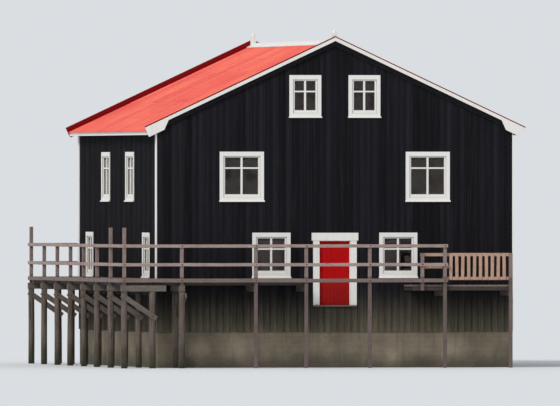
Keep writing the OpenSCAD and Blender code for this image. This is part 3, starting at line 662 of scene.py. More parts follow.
def tarred_boards(name):
    """Upright boards under worn black tar, each board its own tone, with rain streaks."""
    f = Finish(name, 0.7, 0.1)
    across = f.times(f.plus(f.axis("X"), HALF_W), BATTENS[0] / (2 * HALF_W))
    along = f.times(f.minus(f.axis("Y"), FRONT_Y), BATTENS[1] / (BACK_Y - FRONT_Y))
    boards = f.plus(across, along)
    tone_of_board = f.board_tone(boards)
    from_middle = f.math("ABSOLUTE", f.minus(f.math("FRACT", boards), 0.5))
    batten_shade_line = f.ramp(from_middle, (0.30, 0.0), (0.355, 0.8), (0.38, 0.8), (0.395, 0.0))
    grain = f.noise((48, 48, 1.8), 1.6, 7, 0.6, 0.3)
    streak = f.noise((9, 9, 0.35), 1.5, 5, 0.6, 0.2)
    patch = f.noise((1, 1, 0.5), 0.6, 4, 0.55)
    tone = f.mix(tone_of_board, *TAR)
    tone = f.mix(f.rise(streak, 0.5, 0.76), tone, WORN_TAR, 0.6)
    tone = f.mix(f.rise(patch, 0.45, 0.75, 0.3), tone, TAR_CLOUD)
    tone = f.mix(f.ramp(grain, (0.3, 0.5), (0.6, 0.0)), tone, TAR_GRAIN)
    # The boards turn paler and browner towards the foot of the wall, below a ragged level
    foot = f.plus(f.axis("Z"), f.times(f.minus(streak, 0.5), 1.1))
    low = f.smooth(foot, PALE_FOOT_TOP, WALL_FOOT - 0.5)
    paler_foot = f.mix(f.rise(grain, 0.3, 0.65), *FOOT_TONES)
    tone = f.mix(f.times(low, f.plus(f.times(tone_of_board, 0.3), 0.65)), tone, paler_foot)
    # Painted shade: a near-black band on the boards along each batten's edges, where the batten's shade
    # falls
    tone = f.mix(batten_shade_line, tone, f.mix(0.75, tone, BATTEN_SHADE))
    tone = f.mix(inside_mask(f), tone, f.mix(grain, *LINING))
    f.colour(tone)
    f.roughness(f.ramp(f.plus(f.times(grain, 0.5), f.times(streak, 0.5)), (0.35, 0.52), (0.7, 0.8)))
    f.bump(grain, 0.003, 0.9)
    return f.material


def painted_wood(name, colour, dirt_and_shade, gloss=0.45, specular=0.4, grain_scale=(60, 60, 60), foot=None):
    """Brushed paint on boards: faint brush lines, hairline flaking, and painted shade between a foot's two
    levels.
    """
    f = Finish(name, gloss, specular)
    brush = f.noise(grain_scale, 1.2, 4, 0.6)
    cloud = f.noise(EVEN, 1.3, 5, 0.6)
    speck = f.noise(EVEN, 26, 3, 0.6)
    flake = f.times(f.rise(speck, 0.70, 0.73), f.rise(cloud, 0.45, 0.6))
    tone = f.mix(f.rise(cloud, 0.35, 0.75, 0.5), colour, shaded(colour, 0.86))
    run = f.noise((14, 14, 0.5), 1.6, 4, 0.6)
    tone = f.mix(f.rise(run, 0.52, 0.8), tone, dirt_and_shade, 0.30)
    tone = f.mix(flake, tone, shaded(dirt_and_shade, 0.5), 0.7)
    # Painted shade: the paint darkens between the foot's two levels, below a ragged edge
    if foot:
        ragged = f.plus(f.axis("Z"), f.times(f.minus(cloud, 0.5), 0.3))
        tone = f.mix(f.smooth(ragged, foot[1], foot[0]), tone, dirt_and_shade, 0.65)
    f.colour(tone)
    f.roughness(f.ramp(cloud, (0.3, gloss - 0.08), (0.7, gloss + 0.15)))
    height = f.minus(f.times(brush, 0.5), f.times(flake, 0.6))
    f.bump(height, 0.0016, 0.7)
    return f.material


def roof_paint(name, colour, faded_and_sheen, rust):
    """Red paint on metal: paler in clouds and in streaks down the slope, partly real fading and partly
    painted sheen, a little rust at the laps.
    """
    f = Finish(name, 0.42, 0.4)
    cloud = f.noise((0.5, 0.35, 0.5), 1.4, 5, 0.6)
    run = f.noise((0.5, 9, 0.5), 1.6, 5, 0.62, 0.2)
    spot = f.noise(EVEN, 7, 6, 0.7)
    # The paler tone is partly real fading of the paint and partly painted sheen
    fade_and_sheen = f.plus(f.times(f.rise(cloud, 0.34, 0.66), 0.55), f.times(f.tint(), 0.4))
    tone = f.mix(fade_and_sheen, colour, faded_and_sheen)
    tone = f.mix(f.rise(run, 0.48, 0.78), tone, faded_and_sheen, 0.45)
    tone = f.mix(f.ramp(run, (0.2, 1.0), (0.42, 0.0)), tone, rust, 0.25)
    tone = f.mix(f.rise(spot, 0.71, 0.76, 0.7), tone, rust)
    f.colour(tone)
    f.roughness(f.ramp(cloud, (0.3, 0.36), (0.7, 0.58)))
    f.bump(f.noise(EVEN, 40, 3, 0.6), 0.0008, 0.6)
    return f.material


def cast_concrete(name):
    """Rough concrete with shutter board lines, damp below and run-off streaks."""
    f = Finish(name, 0.88, 0.25)
    cloud = f.noise(EVEN, 0.9, 6, 0.65)
    grit = f.noise(EVEN, 38, 5, 0.7)
    run = f.noise((5, 5, 0.35), 1.8, 5, 0.6)
    course = f.math("FRACT", f.math("DIVIDE", f.axis("Z"), 0.15))
    seam = f.ramp(course, (0.0, 0.0), (0.06, 1.0), (0.94, 1.0), (1.0, 0.0))
    tone = f.ramp(cloud, (0.3, (0.135, 0.112, 0.079)), (0.55, (0.212, 0.177, 0.126)),
                  (0.75, (0.29, 0.25, 0.184)))
    tone = f.mix(f.rise(run, 0.5, 0.75), tone, (0.09, 0.075, 0.06), 0.5)
    tone = f.mix(f.ramp(grit, (0.33, 0.5), (0.42, 0.0)), tone, (0.07, 0.06, 0.05))
    ragged = f.plus(f.axis("Z"), f.times(cloud, 0.7))
    damp = f.smooth(ragged, 0.95, 0.35)
    tone = f.mix(damp, tone, (0.045, 0.04, 0.03), 0.8)
    f.colour(tone)
    f.roughness(f.ramp(damp, (0.0, 0.9), (1.0, 0.6)))
    height = f.plus(f.times(seam, 0.7), f.times(grit, 0.5))
    f.bump(f.plus(height, f.times(cloud, 0.5)), 0.008, 0.8)
    return f.material


def plain_metal(name, colour, roughness, metallic=1.0):
    """Dark forged or turned metal with a mottled surface."""
    f = Finish(name, roughness, 0.5, metallic)
    cloud = f.noise(EVEN, 30, 5, 0.65)
    f.colour(f.mix(f.rise(cloud, 0.35, 0.7), colour, shaded(colour, 1.8)))
    f.roughness(f.ramp(cloud, (0.3, roughness - 0.1), (0.7, roughness + 0.15)))
    f.bump(cloud, 0.001, 0.5)
    return f.material


def window_glass(name):
    """Clear old glass, slightly wavy, with a greenish body and uneven, brownish reflections."""
    f = Finish(name, 0.03, 1.0)
    f.colour(f.ramp(f.noise(EVEN, 2.0), (0.3, (0.80, 0.86, 0.86)), (0.7, (0.88, 0.93, 0.92))))
    f.put(1.0, f.shader.inputs["Transmission Weight"])
    f.put(1.45, f.shader.inputs["IOR"])
    patch = f.noise(EVEN, 1.7, 4, 0.65)
    sheen = f.ramp(patch, (0.36, (0.36, 0.31, 0.31)), (0.47, (0.90, 0.72, 0.66)), (0.6, (1.0, 0.90, 0.78)))
    f.put(sheen, f.shader.inputs["Specular Tint"])
    f.bump(f.noise(EVEN, 3.0, 2, 0.5), 0.004, 0.25)
    return f.material


def inside_boards(name, pale, dark, width=0.12, black_ends=None):
    """Plain boards running the length of the house, painted black beyond a distance from its middle."""
    f = Finish(name, 0.75, 0.12)
    across = f.math("DIVIDE", f.axis("X"), width)
    board = f.board_tone(across)
    seam = f.ramp(f.math("FRACT", across), (0.0, 0.0), (0.04, 1.0), (0.96, 1.0), (1.0, 0.0))
    grain = f.noise((40, 1.5, 40), 1.4, 6, 0.6, 0.4)
    tone = f.mix(grain, dark, pale)
    tone = f.mix(board, tone, shaded(pale, 0.7), 0.4)
    tone = f.mix(seam, (0.02, 0.015, 0.01), tone)
    if black_ends:
        from_middle = f.math("ABSOLUTE", f.minus(f.axis("Y"), black_ends[0]))
        painted = f.math("GREATER_THAN", from_middle, black_ends[1])
        tone = f.mix(painted, tone, f.mix(grain, (0.002, 0.002, 0.003), (0.008, 0.0075, 0.010)))
    f.colour(tone)
    f.bump(f.plus(f.times(grain, 0.3), seam), 0.003, 0.6)
    return f.material


WHITE = (0.82, 0.80, 0.755)
# Painted shade over the door's foot, from below the deck's level to a little above it
DOOR_FOOT_SHADE = (DECK_TOP - 0.35, DECK_TOP + 0.1)
VERGE_ENDS = ((SHEET_LOW.y + SHEET_HIGH.y) / 2, (SHEET_HIGH.y - SHEET_LOW.y) / 2 + 0.001)
finishes = {
    "concrete": cast_concrete("concrete"),
    "floor_timber": inside_boards("floor_boards", (0.42, 0.31, 0.19), (0.26, 0.18, 0.10)),
    "tarred_cladding": tarred_boards("tarred_boards"),
    "white_paint": painted_wood("white_paint", WHITE, (0.42, 0.38, 0.32)),
    "window_glass": window_glass("glass"),
    "threshold_timber": painted_wood("threshold_wood", (0.16, 0.12, 0.10), (0.08, 0.07, 0.06), 0.7),
    "black_iron": plain_metal("black_iron", (0.035, 0.035, 0.037), 0.5),
    "red_paint": painted_wood("red_paint", (0.455, 0.004, 0.005), (0.20, 0.010, 0.010), 0.55, 0.06,
                              (60, 60, 2), DOOR_FOOT_SHADE),
    "roof_timber": inside_boards("roof_boards", (0.24, 0.18, 0.13), (0.15, 0.11, 0.08), 0.15, VERGE_ENDS),
    "red_roof_metal": roof_paint("roof_red", (0.74, 0.045, 0.034), (0.90, 0.175, 0.105),
                                 (0.40, 0.030, 0.016)),
    "white_metal": painted_wood("white_metal", WHITE, (0.45, 0.38, 0.32), 0.4),
}
ABOVE_DECK = DECK_TOP + 0.06
TIMBERS = {
    "pile_timber": ("beam_timber", (0.21, 0.175, 0.15), (0.09, 0.072, 0.06), (0.15, 0.12, 0.10)),
    "deck_timber": ("deck_boards", (0.31, 0.235, 0.21), (0.145, 0.108, 0.095), (0.215, 0.16, 0.14)),
    "rail_timber": ("rail_timber", (0.50, 0.38, 0.345), (0.24, 0.18, 0.16), (0.38, 0.285, 0.26), ABOVE_DECK),
    "balustrade_timber": ("balustrade_timber", (0.64, 0.41, 0.30), (0.36, 0.22, 0.155), (0.55, 0.34, 0.25)),
    # The stringers are far darker than the other timbers
    "stringers": ("stringer_timber", (0.085, 0.068, 0.060), (0.035, 0.027, 0.023), (0.060, 0.048, 0.042)),
    "posts": ("post_timber", (0.36, 0.27, 0.245), (0.155, 0.115, 0.103), (0.25, 0.187, 0.17), ABOVE_DECK),
}
for timber, values in TIMBERS.items():
    finishes[timber] = weathered_timber(*values)
# Painted shade: the flashings' saturated red is darkened well below the door's, for the shaded faces of the
# verge upstands
shaded_flashing_red = painted_wood("shaded_flashing_red", (0.21, 0.003, 0.004), (0.13, 0.008, 0.008), 0.6, 0.06)
pile_finish = round_timber("pile_timber", (0.185, 0.143, 0.120), (0.080, 0.060, 0.048))
white = finishes["white_paint"]
putty_finish = painted_wood("putty", (0.17, 0.155, 0.14), (0.08, 0.07, 0.06), 0.7, 0.1)
rebate_finish = painted_wood("dark_rebate", (0.034, 0.029, 0.028), (0.020, 0.017, 0.016), 0.5, 0.2)
rusty = plain_metal("rusty_iron", (0.075, 0.045, 0.032), 0.7, 0.6)
OWN_FINISH = {
    "piles": pile_finish,
    "rail_posts": finishes["posts"],
    "stringers_left": finishes["stringers"],
    "stringers_ends": finishes["stringers"],
}


def finish_of(name):
    """The finish of a CAD node: its own, or its slot's."""
    return OWN_FINISH.get(name, finishes[SLOTS[name]])


for node_name, obj in NODES.items():
    obj.data.materials.clear()
    obj.data.materials.append(finish_of(node_name))


# Cladding

def gaps_between(low, high, blocks):
    """The stretches of low to high that no block covers."""
    stretches = []
    at = low
    for start, end in sorted(blocks):
        if start > at:
            stretches.append((at, min(start, high)))
        at = max(at, end)
    if at < high:
        stretches.append((at, high))
    return [(a, b) for a, b in stretches if b - a > SHORTEST_BATTEN]


def covered(name, axis):
    """What a node's solids cover of a wall, each as two ends, a foot and a top."""
    return [(low[axis], high[axis], low.z, high.z) for low, high in boxes(name)]


def covered_places():
    """The places on each wall where its battens stop."""
    found = {wall: covered("window_frames_" + wall, axis) for wall, axis, _, _ in WALLS}
    for low, high in boxes("corner_boards"):
        found["front" if low.y < FRONT_Y else "back"].append((low.x, high.x, low.z, high.z))
        found["left" if low.x < 0 else "right"].append((low.y, high.y, low.z, high.z))
    found["front"] += covered("door_head", 0) + covered("door_threshold", 0)
    low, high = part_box("door_jambs")
    found["front"].append((low.x, high.x, low.z - JAMB_FOOT, high.z + BLOCK_EDGE))
    low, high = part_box("deck_right")
    found["front"].append((low.x, high.x, CAP_FOOT - DECK_FOOT, high.z))
    for low, high in boxes("deck_ends"):
        wall = "front" if low.y < FRONT_Y else "back"
        found[wall].append((low.x - BLOCK_EDGE, high.x + BLOCK_EDGE, CAP_FOOT, DECK_TOP))
    found["left"].append((FRONT_Y, BACK_Y, CAP_FOOT, DECK_TOP))
    for low, high in boxes("rails_ends"):
        if abs(low.y - BACK_Y) < 1e-3:
            found["back"].append((low.x, high.x, low.z, high.z))
    return found


def battens(wall, axis, outward, face, blocks):
    """Upright battens over the joints of one wall, stopped at whatever stands on it."""
    mesh = timber_mesh()
    first, last = ((-HALF_W, HALF_W), (FRONT_Y, BACK_Y))[axis]
    pitch = (last - first) / BATTENS[axis]
    reach = BATTEN_WIDTH / 2 + BATTEN_MARGIN
    side = on_axis(axis, BATTEN_WIDTH / 2)
    up = on_axis(1 - axis, outward * BATTEN_DEPTH / 2)
    for i in range(1, BATTENS[axis]):
        at = first + i * pitch
        over = [(z0, z1) for a0, a1, z0, z1 in blocks if a0 - reach < at < a1 + reach]
        top = SIDE_TOP if axis else WALL_HIGH.z - abs(at) * SLOPE
        for ends in gaps_between(WALL_FOOT, top - BATTEN_TOP_GAP, over):
            foot, head = (wall_point(axis, at, face + outward * BATTEN_DEPTH / 2, z) for z in ends)
            add_timber(mesh, foot, head, side, up, BATTEN_CHAMFER)
    new_object(wall + "_battens", mesh, finishes["tarred_cladding"])


wall_blocks = covered_places()
for wall_name, wall_axis, wall_out, wall_face in WALLS:
    battens(wall_name, wall_axis, wall_out, wall_face, wall_blocks[wall_name])


# Roof

def roof_point(side, run, y, rise):
    """A point above the slope of one roof side, at a distance run from the ridge."""
    return Vector((side * run, y, ROOF_TOP - run * SLOPE + rise))


def roof_normal(side):
    """The way up from the slope of one roof side."""
    return Vector((side * math.sin(PITCH), 0, math.cos(PITCH)))


def corrugated(side, name):
    """Lapped corrugated sheets of one roof side, in the place of the CAD sheet, and their screws."""
    depth = SHEET_HIGH.y - SHEET_LOW.y
    waves = round(depth / WAVE_PITCH)
    pitch = depth / waves
    course_run = ROOF_RUN / SHEET_COURSES
    mesh = bmesh.new()
    mesh.verts.layers.float.new("tint")
    for course in range(SHEET_COURSES):
        start = course * course_run - (SHEET_LAP if course else 0)
        end = (course + 1) * course_run
        for first in range(0, waves, SHEET_WAVES):
            last = min(first + SHEET_WAVES + 1, waves)
            steps = (last - first) * WAVE_STEPS
            rows = []
            for run, lift in ((start, 0.0), (end, COURSE_LIFT)):
                row = []
                for i in range(steps + 1):
                    wave = (math.cos(math.tau * i / WAVE_STEPS) - 1) * WAVE_HEIGHT / 2
                    lap = SIDE_LIFT * (1 - i / steps)
                    y = SHEET_LOW.y + first * pitch + i * pitch / WAVE_STEPS
                    row.append(roof_point(side, run, y, wave + lift + lap - CREST_SINK))
                rows.append(row)
            add_sweep(mesh, rows, RANDOM.random())
    for face in mesh.faces:
        face.smooth = True
    for edge in mesh.edges:
        edge.smooth = not edge.is_boundary
    obj = new_object(name + "_corrugated", mesh, finishes["red_roof_metal"])
    thicken(obj)
    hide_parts(name)

    heads = bmesh.new()
    for course in range(SHEET_COURSES):
        for share in SCREW_ROWS:
            for wave in range(1, waves, SCREW_WAVES):
                y = SHEET_LOW.y + wave * pitch
                place = roof_point(side, (course + share) * course_run, y, COURSE_LIFT * share - SCREW_SINK)
                add_dome(heads, place, roof_normal(side), *SCREW_SIZE)
    new_object(name + "_screws", heads, finishes["red_roof_metal"])


def verge_flashing(side, name):
    """Folded flashings that turn up behind the verge boards and over the tops of the barge boards."""
    mesh = bmesh.new()
    top = BARGE_RISE + FLASHING_RISE
    over = -BARGE_T - FLASHING_EDGE
    profile = [
        (FLASHING_FLAT, -FLASHING_EDGE), (FLASHING_FLAT, FLASHING_RISE), (FLASHING_TURN[0], FLASHING_RISE),
        (FLASHING_TURN[1], top), (over, top), (over, BARGE_RISE - FLASHING_LIP),
    ]
    for edge, inward in ((SHEET_LOW.y, 1), (SHEET_HIGH.y, -1)):
        rows = [[roof_point(side, ROOF_RUN * i / 3, edge + inward * y, rise) for y, rise in profile]
                for i in range(3)]
        rows.append([roof_point(side, ROOF_RUN - FLASHING_END_GAP + rise * END_LEAN, edge + inward * y, rise)
                     for y, rise in profile])
        add_sweep(mesh, rows)
    obj = new_object(name, mesh, shaded_flashing_red)
    thicken(obj)


def ridge_capping():
    """Lengths of folded capping with a rolled crest, lapped and screwed down."""
    mesh = bmesh.new()
    heads = bmesh.new()
    wing = CAP_HIGH.x
    fold = [(CAP_ROLL * CAP_ROLL_FOOT, CAP_RISE), (wing, CAP_RISE), (wing, -CAP_EDGE)]
    roll = []
    for i in range(CAP_ROLL_STEPS + 1):
        angle = math.pi * (1 + CAP_ROLL_UNDER - (1 + 2 * CAP_ROLL_UNDER) * i / CAP_ROLL_STEPS)
        x = CAP_ROLL * math.cos(angle)
        roll.append((x, CAP_ROLL_RISE + CAP_ROLL * math.sin(angle) + abs(x) * SLOPE))
    profile = [(-x, rise) for x, rise in fold[::-1]] + roll + fold
    count = round((CAP_HIGH.y - CAP_LOW.y) / CAP_LENGTH)
    length = (CAP_HIGH.y - CAP_LOW.y) / count
    for i in range(count):
        start = CAP_LOW.y + i * length
        end = start + length + (CAP_LAP if i < count - 1 else 0)
        add_sweep(mesh, [[roof_point(1 if x > 0 else -1, abs(x), y, rise + lift) for x, rise in profile]
                         for y, lift in ((start, CAP_LIFT), (end, 0.0))])
        for side in (-1, 1):
            for j in range(CAP_SCREWS):
                y = start + (j + CAP_SCREW_START) * length / CAP_SCREWS
                place = roof_point(side, wing - CAP_SCREW_INSET, y, CAP_RISE + CAP_SCREW_LIFT)
                add_dome(heads, place, roof_normal(side), *CAP_SCREW_SIZE)
    obj = new_object("ridge_capping", mesh, finishes["white_metal"])
    thicken(obj)
    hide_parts("ridge_cap")
    new_object("ridge_screws", heads, finishes["white_metal"])


for roof_side, side_name in ((-1, "left"), (1, "right")):
    corrugated(roof_side, "roof_sheet_" + side_name)
    verge_flashing(roof_side, "verge_flashing_" + side_name)
ridge_capping()


# Windows

def window_joinery(wall, axis, outward):
    """Casings, sashes set back behind them and sills of one wall, as separate boards, with dark rebates."""
    frames = "window_frames_" + wall
    boards = timber_mesh()
    rebates = timber_mesh()
    for points, _ in solids(frames):
        a = levels_of(points, axis)
        z = levels_of(points, 2)
        nose, face, wall_face, back = levels_of(points, 1 - axis)[::-outward]
        casing = sorted((face, wall_face))
        sash = sorted((face - outward * SASH_SET, back))
        rebate = sorted((wall_face - outward * GLASS_INSET, back))
        foot = z[4] - REBATE_FOOT
        head = z[5] + REBATE_HEAD
        parts = [
            (boards, axis, (a[1], a[6]), casing, (z[6], z[7])),
            (boards, axis, (a[1], a[6]), casing, (z[0], z[3])),
            (boards, axis, (a[2], a[5]), sash, (head, z[6])),
            (boards, axis, (a[2], a[5]), sash, (z[3], foot)),
            (rebates, axis, (a[3], a[4]), rebate, (z[5], head)),
            (rebates, axis, (a[3], a[4]), rebate, (foot, z[4])),
        ]
        for outer, middle, inner, way in ((a[1], a[2], a[3], -1), (a[6], a[5], a[4], 1)):
            edge = inner + way * REBATE_SIDE
            parts += [
                (boards, 2, sorted((outer, middle)), casing, (z[3], z[6])),
                (boards, 2, sorted((middle, edge)), sash, (foot, head)),
                (rebates, 2, sorted((edge, inner)), rebate, (foot, head)),
            ]
        for mesh, way, *sides in parts:
            add_board(mesh, way, *(wall_point(axis, *places) for places in zip(*sides)))
        sill = ((face, z[0]), (nose, z[0]), (nose, z[1]), (face, z[2]))
        ends = [new_ring(boards, [wall_point(axis, at, out, up) for out, up in sill]) for at in (a[0], a[7])]
        for end in ends:
            boards.faces.new(end)
        join_rings(boards, *ends)
    obj = new_object(frames + "_boards", boards, white)
    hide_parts(frames)
    new_object(frames + "_rebates", rebates, rebate_finish)


def window_bars(wall, axis, outward):
    """Mullions, transoms and putty of one wall's windows, in front of their panes and rebates."""
    bars = bmesh.new()
    putty = bmesh.new()
    depth = 1 - axis
    panes = boxes("window_glass")
    for low, high in boxes("window_frames_" + wall):
        middle = (low + high) / 2
        glass_low, glass_high = min(panes, key=lambda p: ((p[0] + p[1]) / 2 - middle).length)
        face = glass_high[depth] if outward > 0 else glass_low[depth]
        centre = (glass_low[axis] + glass_high[axis]) / 2
        transom_z = glass_high.z - TRANSOM_DROP
        ends = (glass_low[axis] - REBATE_SIDE, glass_high[axis] + REBATE_SIDE)
        levels = (glass_low.z - REBATE_FOOT, glass_high.z + REBATE_HEAD)
        mullion = (centre - MULLION_WIDTH / 2, centre + MULLION_WIDTH / 2)
        transom = (transom_z - TRANSOM_WIDTH / 2, transom_z + TRANSOM_WIDTH / 2)
        for along, up, front in ((mullion, levels, BAR_DEPTH), (ends, transom, BAR_DEPTH + TRANSOM_STEP)):
            out = sorted((face, face + outward * front))
            bar_low, bar_high = (wall_point(axis, *places) for places in zip(along, out, up))
            size = bar_high - bar_low
            for vert in bmesh.ops.create_cube(bars, size=1.0)["verts"]:
                vert.co = (bar_low + bar_high) / 2 + Vector([vert.co[i] * size[i] for i in range(3)])
        for a0, a1 in ((ends[0], mullion[0]), (mullion[1], ends[1])):
            for z0, z1 in ((levels[0], transom[0]), (transom[1], levels[1])):
                rings = []
                for inset, front in ((0.0, PUTTY_WIDTH), (PUTTY_WIDTH, PUTTY_EDGE)):
                    corners = ((a0 + inset, z0 + inset), (a1 - inset, z0 + inset),
                               (a1 - inset, z1 - inset), (a0 + inset, z1 - inset))
                    rings.append(new_ring(putty, [wall_point(axis, a, face + outward * front, z)
                                                  for a, z in corners]))
                join_rings(putty, *rings)
    bmesh.ops.bevel(bars, geom=bars.edges[:], offset=BAR_ROUNDING, segments=2, affect="EDGES", profile=0.5)
    name = "bars_" + wall
    new_object(name, bars, white)
    new_object(name + "_putty", putty, putty_finish)


for make_windows in (window_joinery, window_bars):
    for wall_name, wall_axis, wall_out, _ in WALLS:
        make_windows(wall_name, wall_axis, wall_out)


# Door

def door_boards():
    """The red leaf as upright boards with V joints, and the two ledges behind them."""
    mesh = timber_mesh()
    points = solids("door_leaf")[0][0]
    low, high = span(points)
    back = max(p.y for p in points if abs(p.z - high.z) < 1e-4)
    pitch = (high.x - low.x) / DOOR_BOARDS
    side = on_axis(0, pitch / 2 - DOOR_JOINT)
    up = on_axis(1, (back - low.y) / 2)
    for i in range(DOOR_BOARDS):
        x = low.x + (i + 0.5) * pitch
        y = (low.y + back) / 2 + RANDOM.uniform(0, DOOR_UNEVEN)
        add_timber(mesh, Vector((x, y, low.z)), Vector((x, y, high.z)), side, up, DOOR_CHAMFER)
    ledges = [p for p in points if p.y > back + 0.01]
    reach = max(p.x for p in ledges)
    y = (back + high.y) / 2
    up = on_axis(1, (high.y - back) / 2)
    for z0, z1 in pairs_of(levels_of(ledges, 2)):
        z = (z0 + z1) / 2
        add_timber(mesh, Vector((-reach, y, z)), Vector((reach, y, z)), on_axis(2, (z1 - z0) / 2), up,
                   DOOR_CHAMFER)
    obj = new_object("door_boards", mesh, finishes["red_paint"], "door")
    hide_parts("door_leaf")


door_boards()


# Timber structure, decks and railings

def timbers_of(name, bow):
    """Replaces a CAD node of straight timbers with sawn ones of the same sizes and places."""
    mesh = timber_mesh()
    for points, normals in solids(name):
        centre, axes, sizes = oriented_box(points, normals)
        reach, side, up = (axis * size / 2 for axis, size in zip(axes, sizes))
        add_timber(mesh, centre - reach, centre + reach, side, up, TIMBER_CHAMFER, bow)
    obj = new_object(name + "_timbers", mesh, finish_of(name), NODES[name]["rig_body"])
    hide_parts(name)


def deck_boards(name):
    """Separate boards laid across each deck of a node, from the wall to the outer edge."""
    mesh = timber_mesh()
    for low, high in boxes(name):
        size = high - low
        lay = 0 if size.x > size.y else 1
        count = int(size[lay] / (BOARD_WIDTH + BOARD_GAP))
        pitch = size[lay] / count
        side = on_axis(lay, (pitch - BOARD_GAP) / 2)
        up = on_axis(2, size.z / 2)
        for i in range(count):
            middle = (low + high) / 2
            middle[lay] = low[lay] + (i + 0.5) * pitch
            reach = on_axis(1 - lay, size[1 - lay] / 2 - RANDOM.uniform(0, BOARD_SHORT))
            middle.z += RANDOM.uniform(-BOARD_DROP, 0)
            add_timber(mesh, middle - reach, middle + reach, side, up, BOARD_CHAMFER)
    obj = new_object(name + "_boards", mesh, finish_of(name))
    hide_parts(name)


def logs():
    """Round piles as slightly uneven logs, narrower towards the top."""
    mesh = timber_mesh()
    for low, high in PILES:
        radius = min(high.x - low.x, high.y - low.y) / 2
        middle = (low + high) / 2
        height = (high.z - low.z) / LOG_RINGS
        tone = RANDOM.random()
        phase = [RANDOM.uniform(0, math.tau) for _ in range(4)]
        offset = grain_offset()
        rings = []
        for k in range(LOG_RINGS + 1):
            share = k / LOG_RINGS
            x, y = (middle[i] + LOG_SWAY * math.sin(3 * share + phase[i]) for i in (0, 1))
            places = []
            for i in range(LOG_SIDES):
                angle = math.tau * i / LOG_SIDES
                lobe = LOG_LOBES[0] * math.sin(2 * angle + phase[2] + share)
                lobe += LOG_LOBES[1] * math.sin(5 * angle + phase[3])
                reach = radius * (LOG_SIZE - LOG_TAPER * share + lobe)
                places.append((x + reach * math.cos(angle), y + reach * math.sin(angle), low.z + k * height))
            rings.append(new_ring(mesh, places, tone))
        around = [math.tau * radius * i / LOG_SIDES for i in range(LOG_SIDES + 1)]
        for k in range(LOG_RINGS):
            for face in join_timber_rings(mesh, rings[k], rings[k + 1], k * height, (k + 1) * height,
                                          around, offset):
                face.smooth = True
        mesh.faces.new(rings[0][::-1])
        mesh.faces.new(rings[-1])
    obj = new_object("pile_logs", mesh, pile_finish)
    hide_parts("piles")


def bolts():
    """Bolt heads where braces cross piles and where rails cross posts."""
    mesh = bmesh.new()
    for points, normals in solids("braces"):
        centre, axes, sizes = oriented_box(points, normals)
        for way in (-1, 1):
            place = centre + axes[0] * way * (sizes[0] / 2 - BRACE_END)
            pile = min(((a + b) / 2 for a, b in PILES), key=lambda p: (p.xy - place.xy).length)
            outward = axes[2] if (place - pile).dot(axes[2]) > 0 else -axes[2]
            add_bolt(mesh, place + outward * sizes[2] / 2, outward, BRACE_BOLT)
    posts = boxes("rail_posts")
    for low, high in boxes("rails_left") + boxes("rails_ends"):
        place = (low + high) / 2
        thin = 0 if high.x - low.x < high.y - low.y else 1
        along = 1 - thin
        for foot, head in posts:
            post = (foot + head) / 2
            offset = (low[thin] + high[thin]) / 2 - post[thin]
            level = foot.z < place.z < head.z and low[along] < post[along] < high[along]
            if level and abs(offset) < RAIL_REACH:
                place[along] = post[along]
                place[thin] = high[thin] if offset > 0 else low[thin]
                add_bolt(mesh, place, on_axis(thin, 1 if offset > 0 else -1), RAIL_BOLT)
    new_object("bolt_heads", mesh, rusty)


def balustrade_boards():
    """Rails and upright boards of the right balustrade as separate sawn pieces."""
    mesh = timber_mesh()
    points = solids("balustrade_right")[0][0]
    low, high = span(points)
    back = [p for p in points if abs(p.y - high.y) < 1e-4]
    y = (low.y + BALUSTER_T + high.y) / 2
    up = on_axis(1, (high.y - low.y - BALUSTER_T) / 2)
    for z0, z1 in pairs_of(levels_of(back, 2)):
        ends = [p.x for p in back if abs(p.z - z0) < 1e-3]
        start, end = (Vector((x, y, (z0 + z1) / 2)) for x in (min(ends), max(ends)))
        add_timber(mesh, start, end, on_axis(2, (z1 - z0) / 2), up, BALUSTRADE_CHAMFER, BALUSTRADE_BOW)
    front = [p for p in points if abs(p.y - low.y) < 1e-4]
    foot = min(p.z for p in front)
    top = max(p.z for p in front)
    y = low.y + BALUSTER_T / 2
    up = on_axis(1, BALUSTER_T / 2)
    for x0, x1 in pairs_of(levels_of(front, 0)):
        x = (x0 + x1) / 2
        lean = RANDOM.uniform(-BALUSTER_LEAN, BALUSTER_LEAN)
        short = RANDOM.uniform(-BALUSTER_LEAN, 0.0)
        add_timber(mesh, Vector((x - lean, y, foot - short)), Vector((x + lean, y, top + short)),
                   on_axis(0, (x1 - x0) / 2), up, BALUSTER_CHAMFER)
    obj = new_object("balustrade_boards", mesh, finishes["balustrade_timber"])
    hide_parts("balustrade_right")


for timber_node, timber_bow in TIMBER_BOWS.items():
    timbers_of(timber_node, timber_bow)
for deck_node in ("deck_left", "deck_ends", "deck_right"):
    deck_boards(deck_node)
logs()
bolts()
balustrade_boards()


# Studio

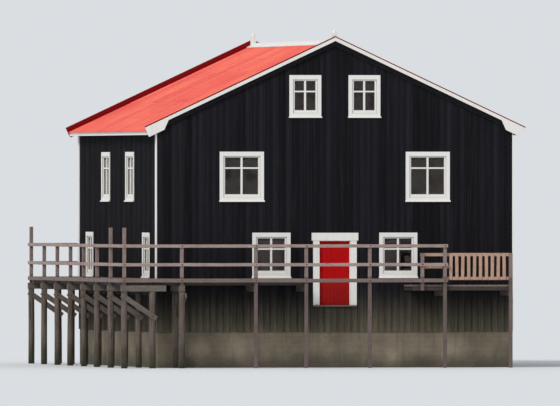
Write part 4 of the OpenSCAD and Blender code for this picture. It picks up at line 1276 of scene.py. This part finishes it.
def stage_floor():
    """A pale floor that fades out far from the house."""
    mesh = bmesh.new()
    bmesh.ops.create_circle(mesh, cap_ends=True, radius=FLOOR_RADIUS, segments=FLOOR_SIDES)
    f = Finish("stage_floor", 0.9, 0.1)
    f.colour(FLOOR_COLOUR)
    distance = f.add("VectorMath", {"operation": "LENGTH"}, Vector=f.add("TexCoord").outputs["Object"])
    fade_and_sheen = f.smooth(distance.outputs["Value"], *FLOOR_FADE)
    clear = f.add("BsdfTransparent")
    blend = f.add("MixShader", i0=fade_and_sheen, i1=f.shader.outputs["BSDF"], i2=clear.outputs["BSDF"])
    f.put(blend.outputs[0], f.tree.nodes["Material Output"].inputs["Surface"])
    obj = in_scene("stage_floor", mesh_data("stage_floor", mesh, f.material))
    obj.location = (0, BACK_Y / 2, -FLOOR_DROP)


def studio_light():
    """An even pale sky, with a large soft lamp from the upper left of the front."""
    world = bpy.data.worlds.new("studio")
    bpy.context.scene.world = world
    world.use_nodes = True
    world.node_tree.nodes.clear()
    w = Nodes(world.node_tree)
    sky = w.add("Background", Color=SKY_COLOUR, Strength=SKY_STRENGTH)
    backdrop = w.add("Background", Color=BACKDROP_COLOUR)
    rays = w.add("LightPath").outputs
    seen = w.math("MAXIMUM", rays["Is Camera Ray"], rays["Is Glossy Ray"])
    seen = w.math("MAXIMUM", seen, rays["Is Transmission Ray"])
    blend = w.add("MixShader", i0=seen, i1=sky.outputs[0], i2=backdrop.outputs[0])
    w.add("OutputWorld", Surface=blend.outputs[0])
    lamp = bpy.data.lights.new("key", "SUN")
    lamp.energy = LAMP_STRENGTH
    lamp.angle = LAMP_SPREAD
    lamp.color = LAMP_COLOUR
    in_scene("key", lamp).rotation_euler = Vector(LAMP_SIDE).to_track_quat("Z", "Y").to_euler()


def photo_camera():
    """A long lens at the photograph's height, distance and side of the house."""
    target = Vector(CAMERA_TARGET)
    place = target + CAMERA_DISTANCE * Vector((math.sin(CAMERA_TURN), -math.cos(CAMERA_TURN), 0))
    place.z = CAMERA_HEIGHT
    data = bpy.data.cameras.new("camera")
    data.sensor_width = CAMERA_SENSOR
    data.lens = CAMERA_LENS
    data.clip_end = CAMERA_REACH
    obj = in_scene("camera", data)
    obj.location = place
    obj.rotation_euler = (target - place).to_track_quat("-Z", "Y").to_euler()
    bpy.context.scene.camera = obj


stage_floor()
studio_light()
photo_camera()
bpy.context.scene.view_settings.view_transform = "Standard"
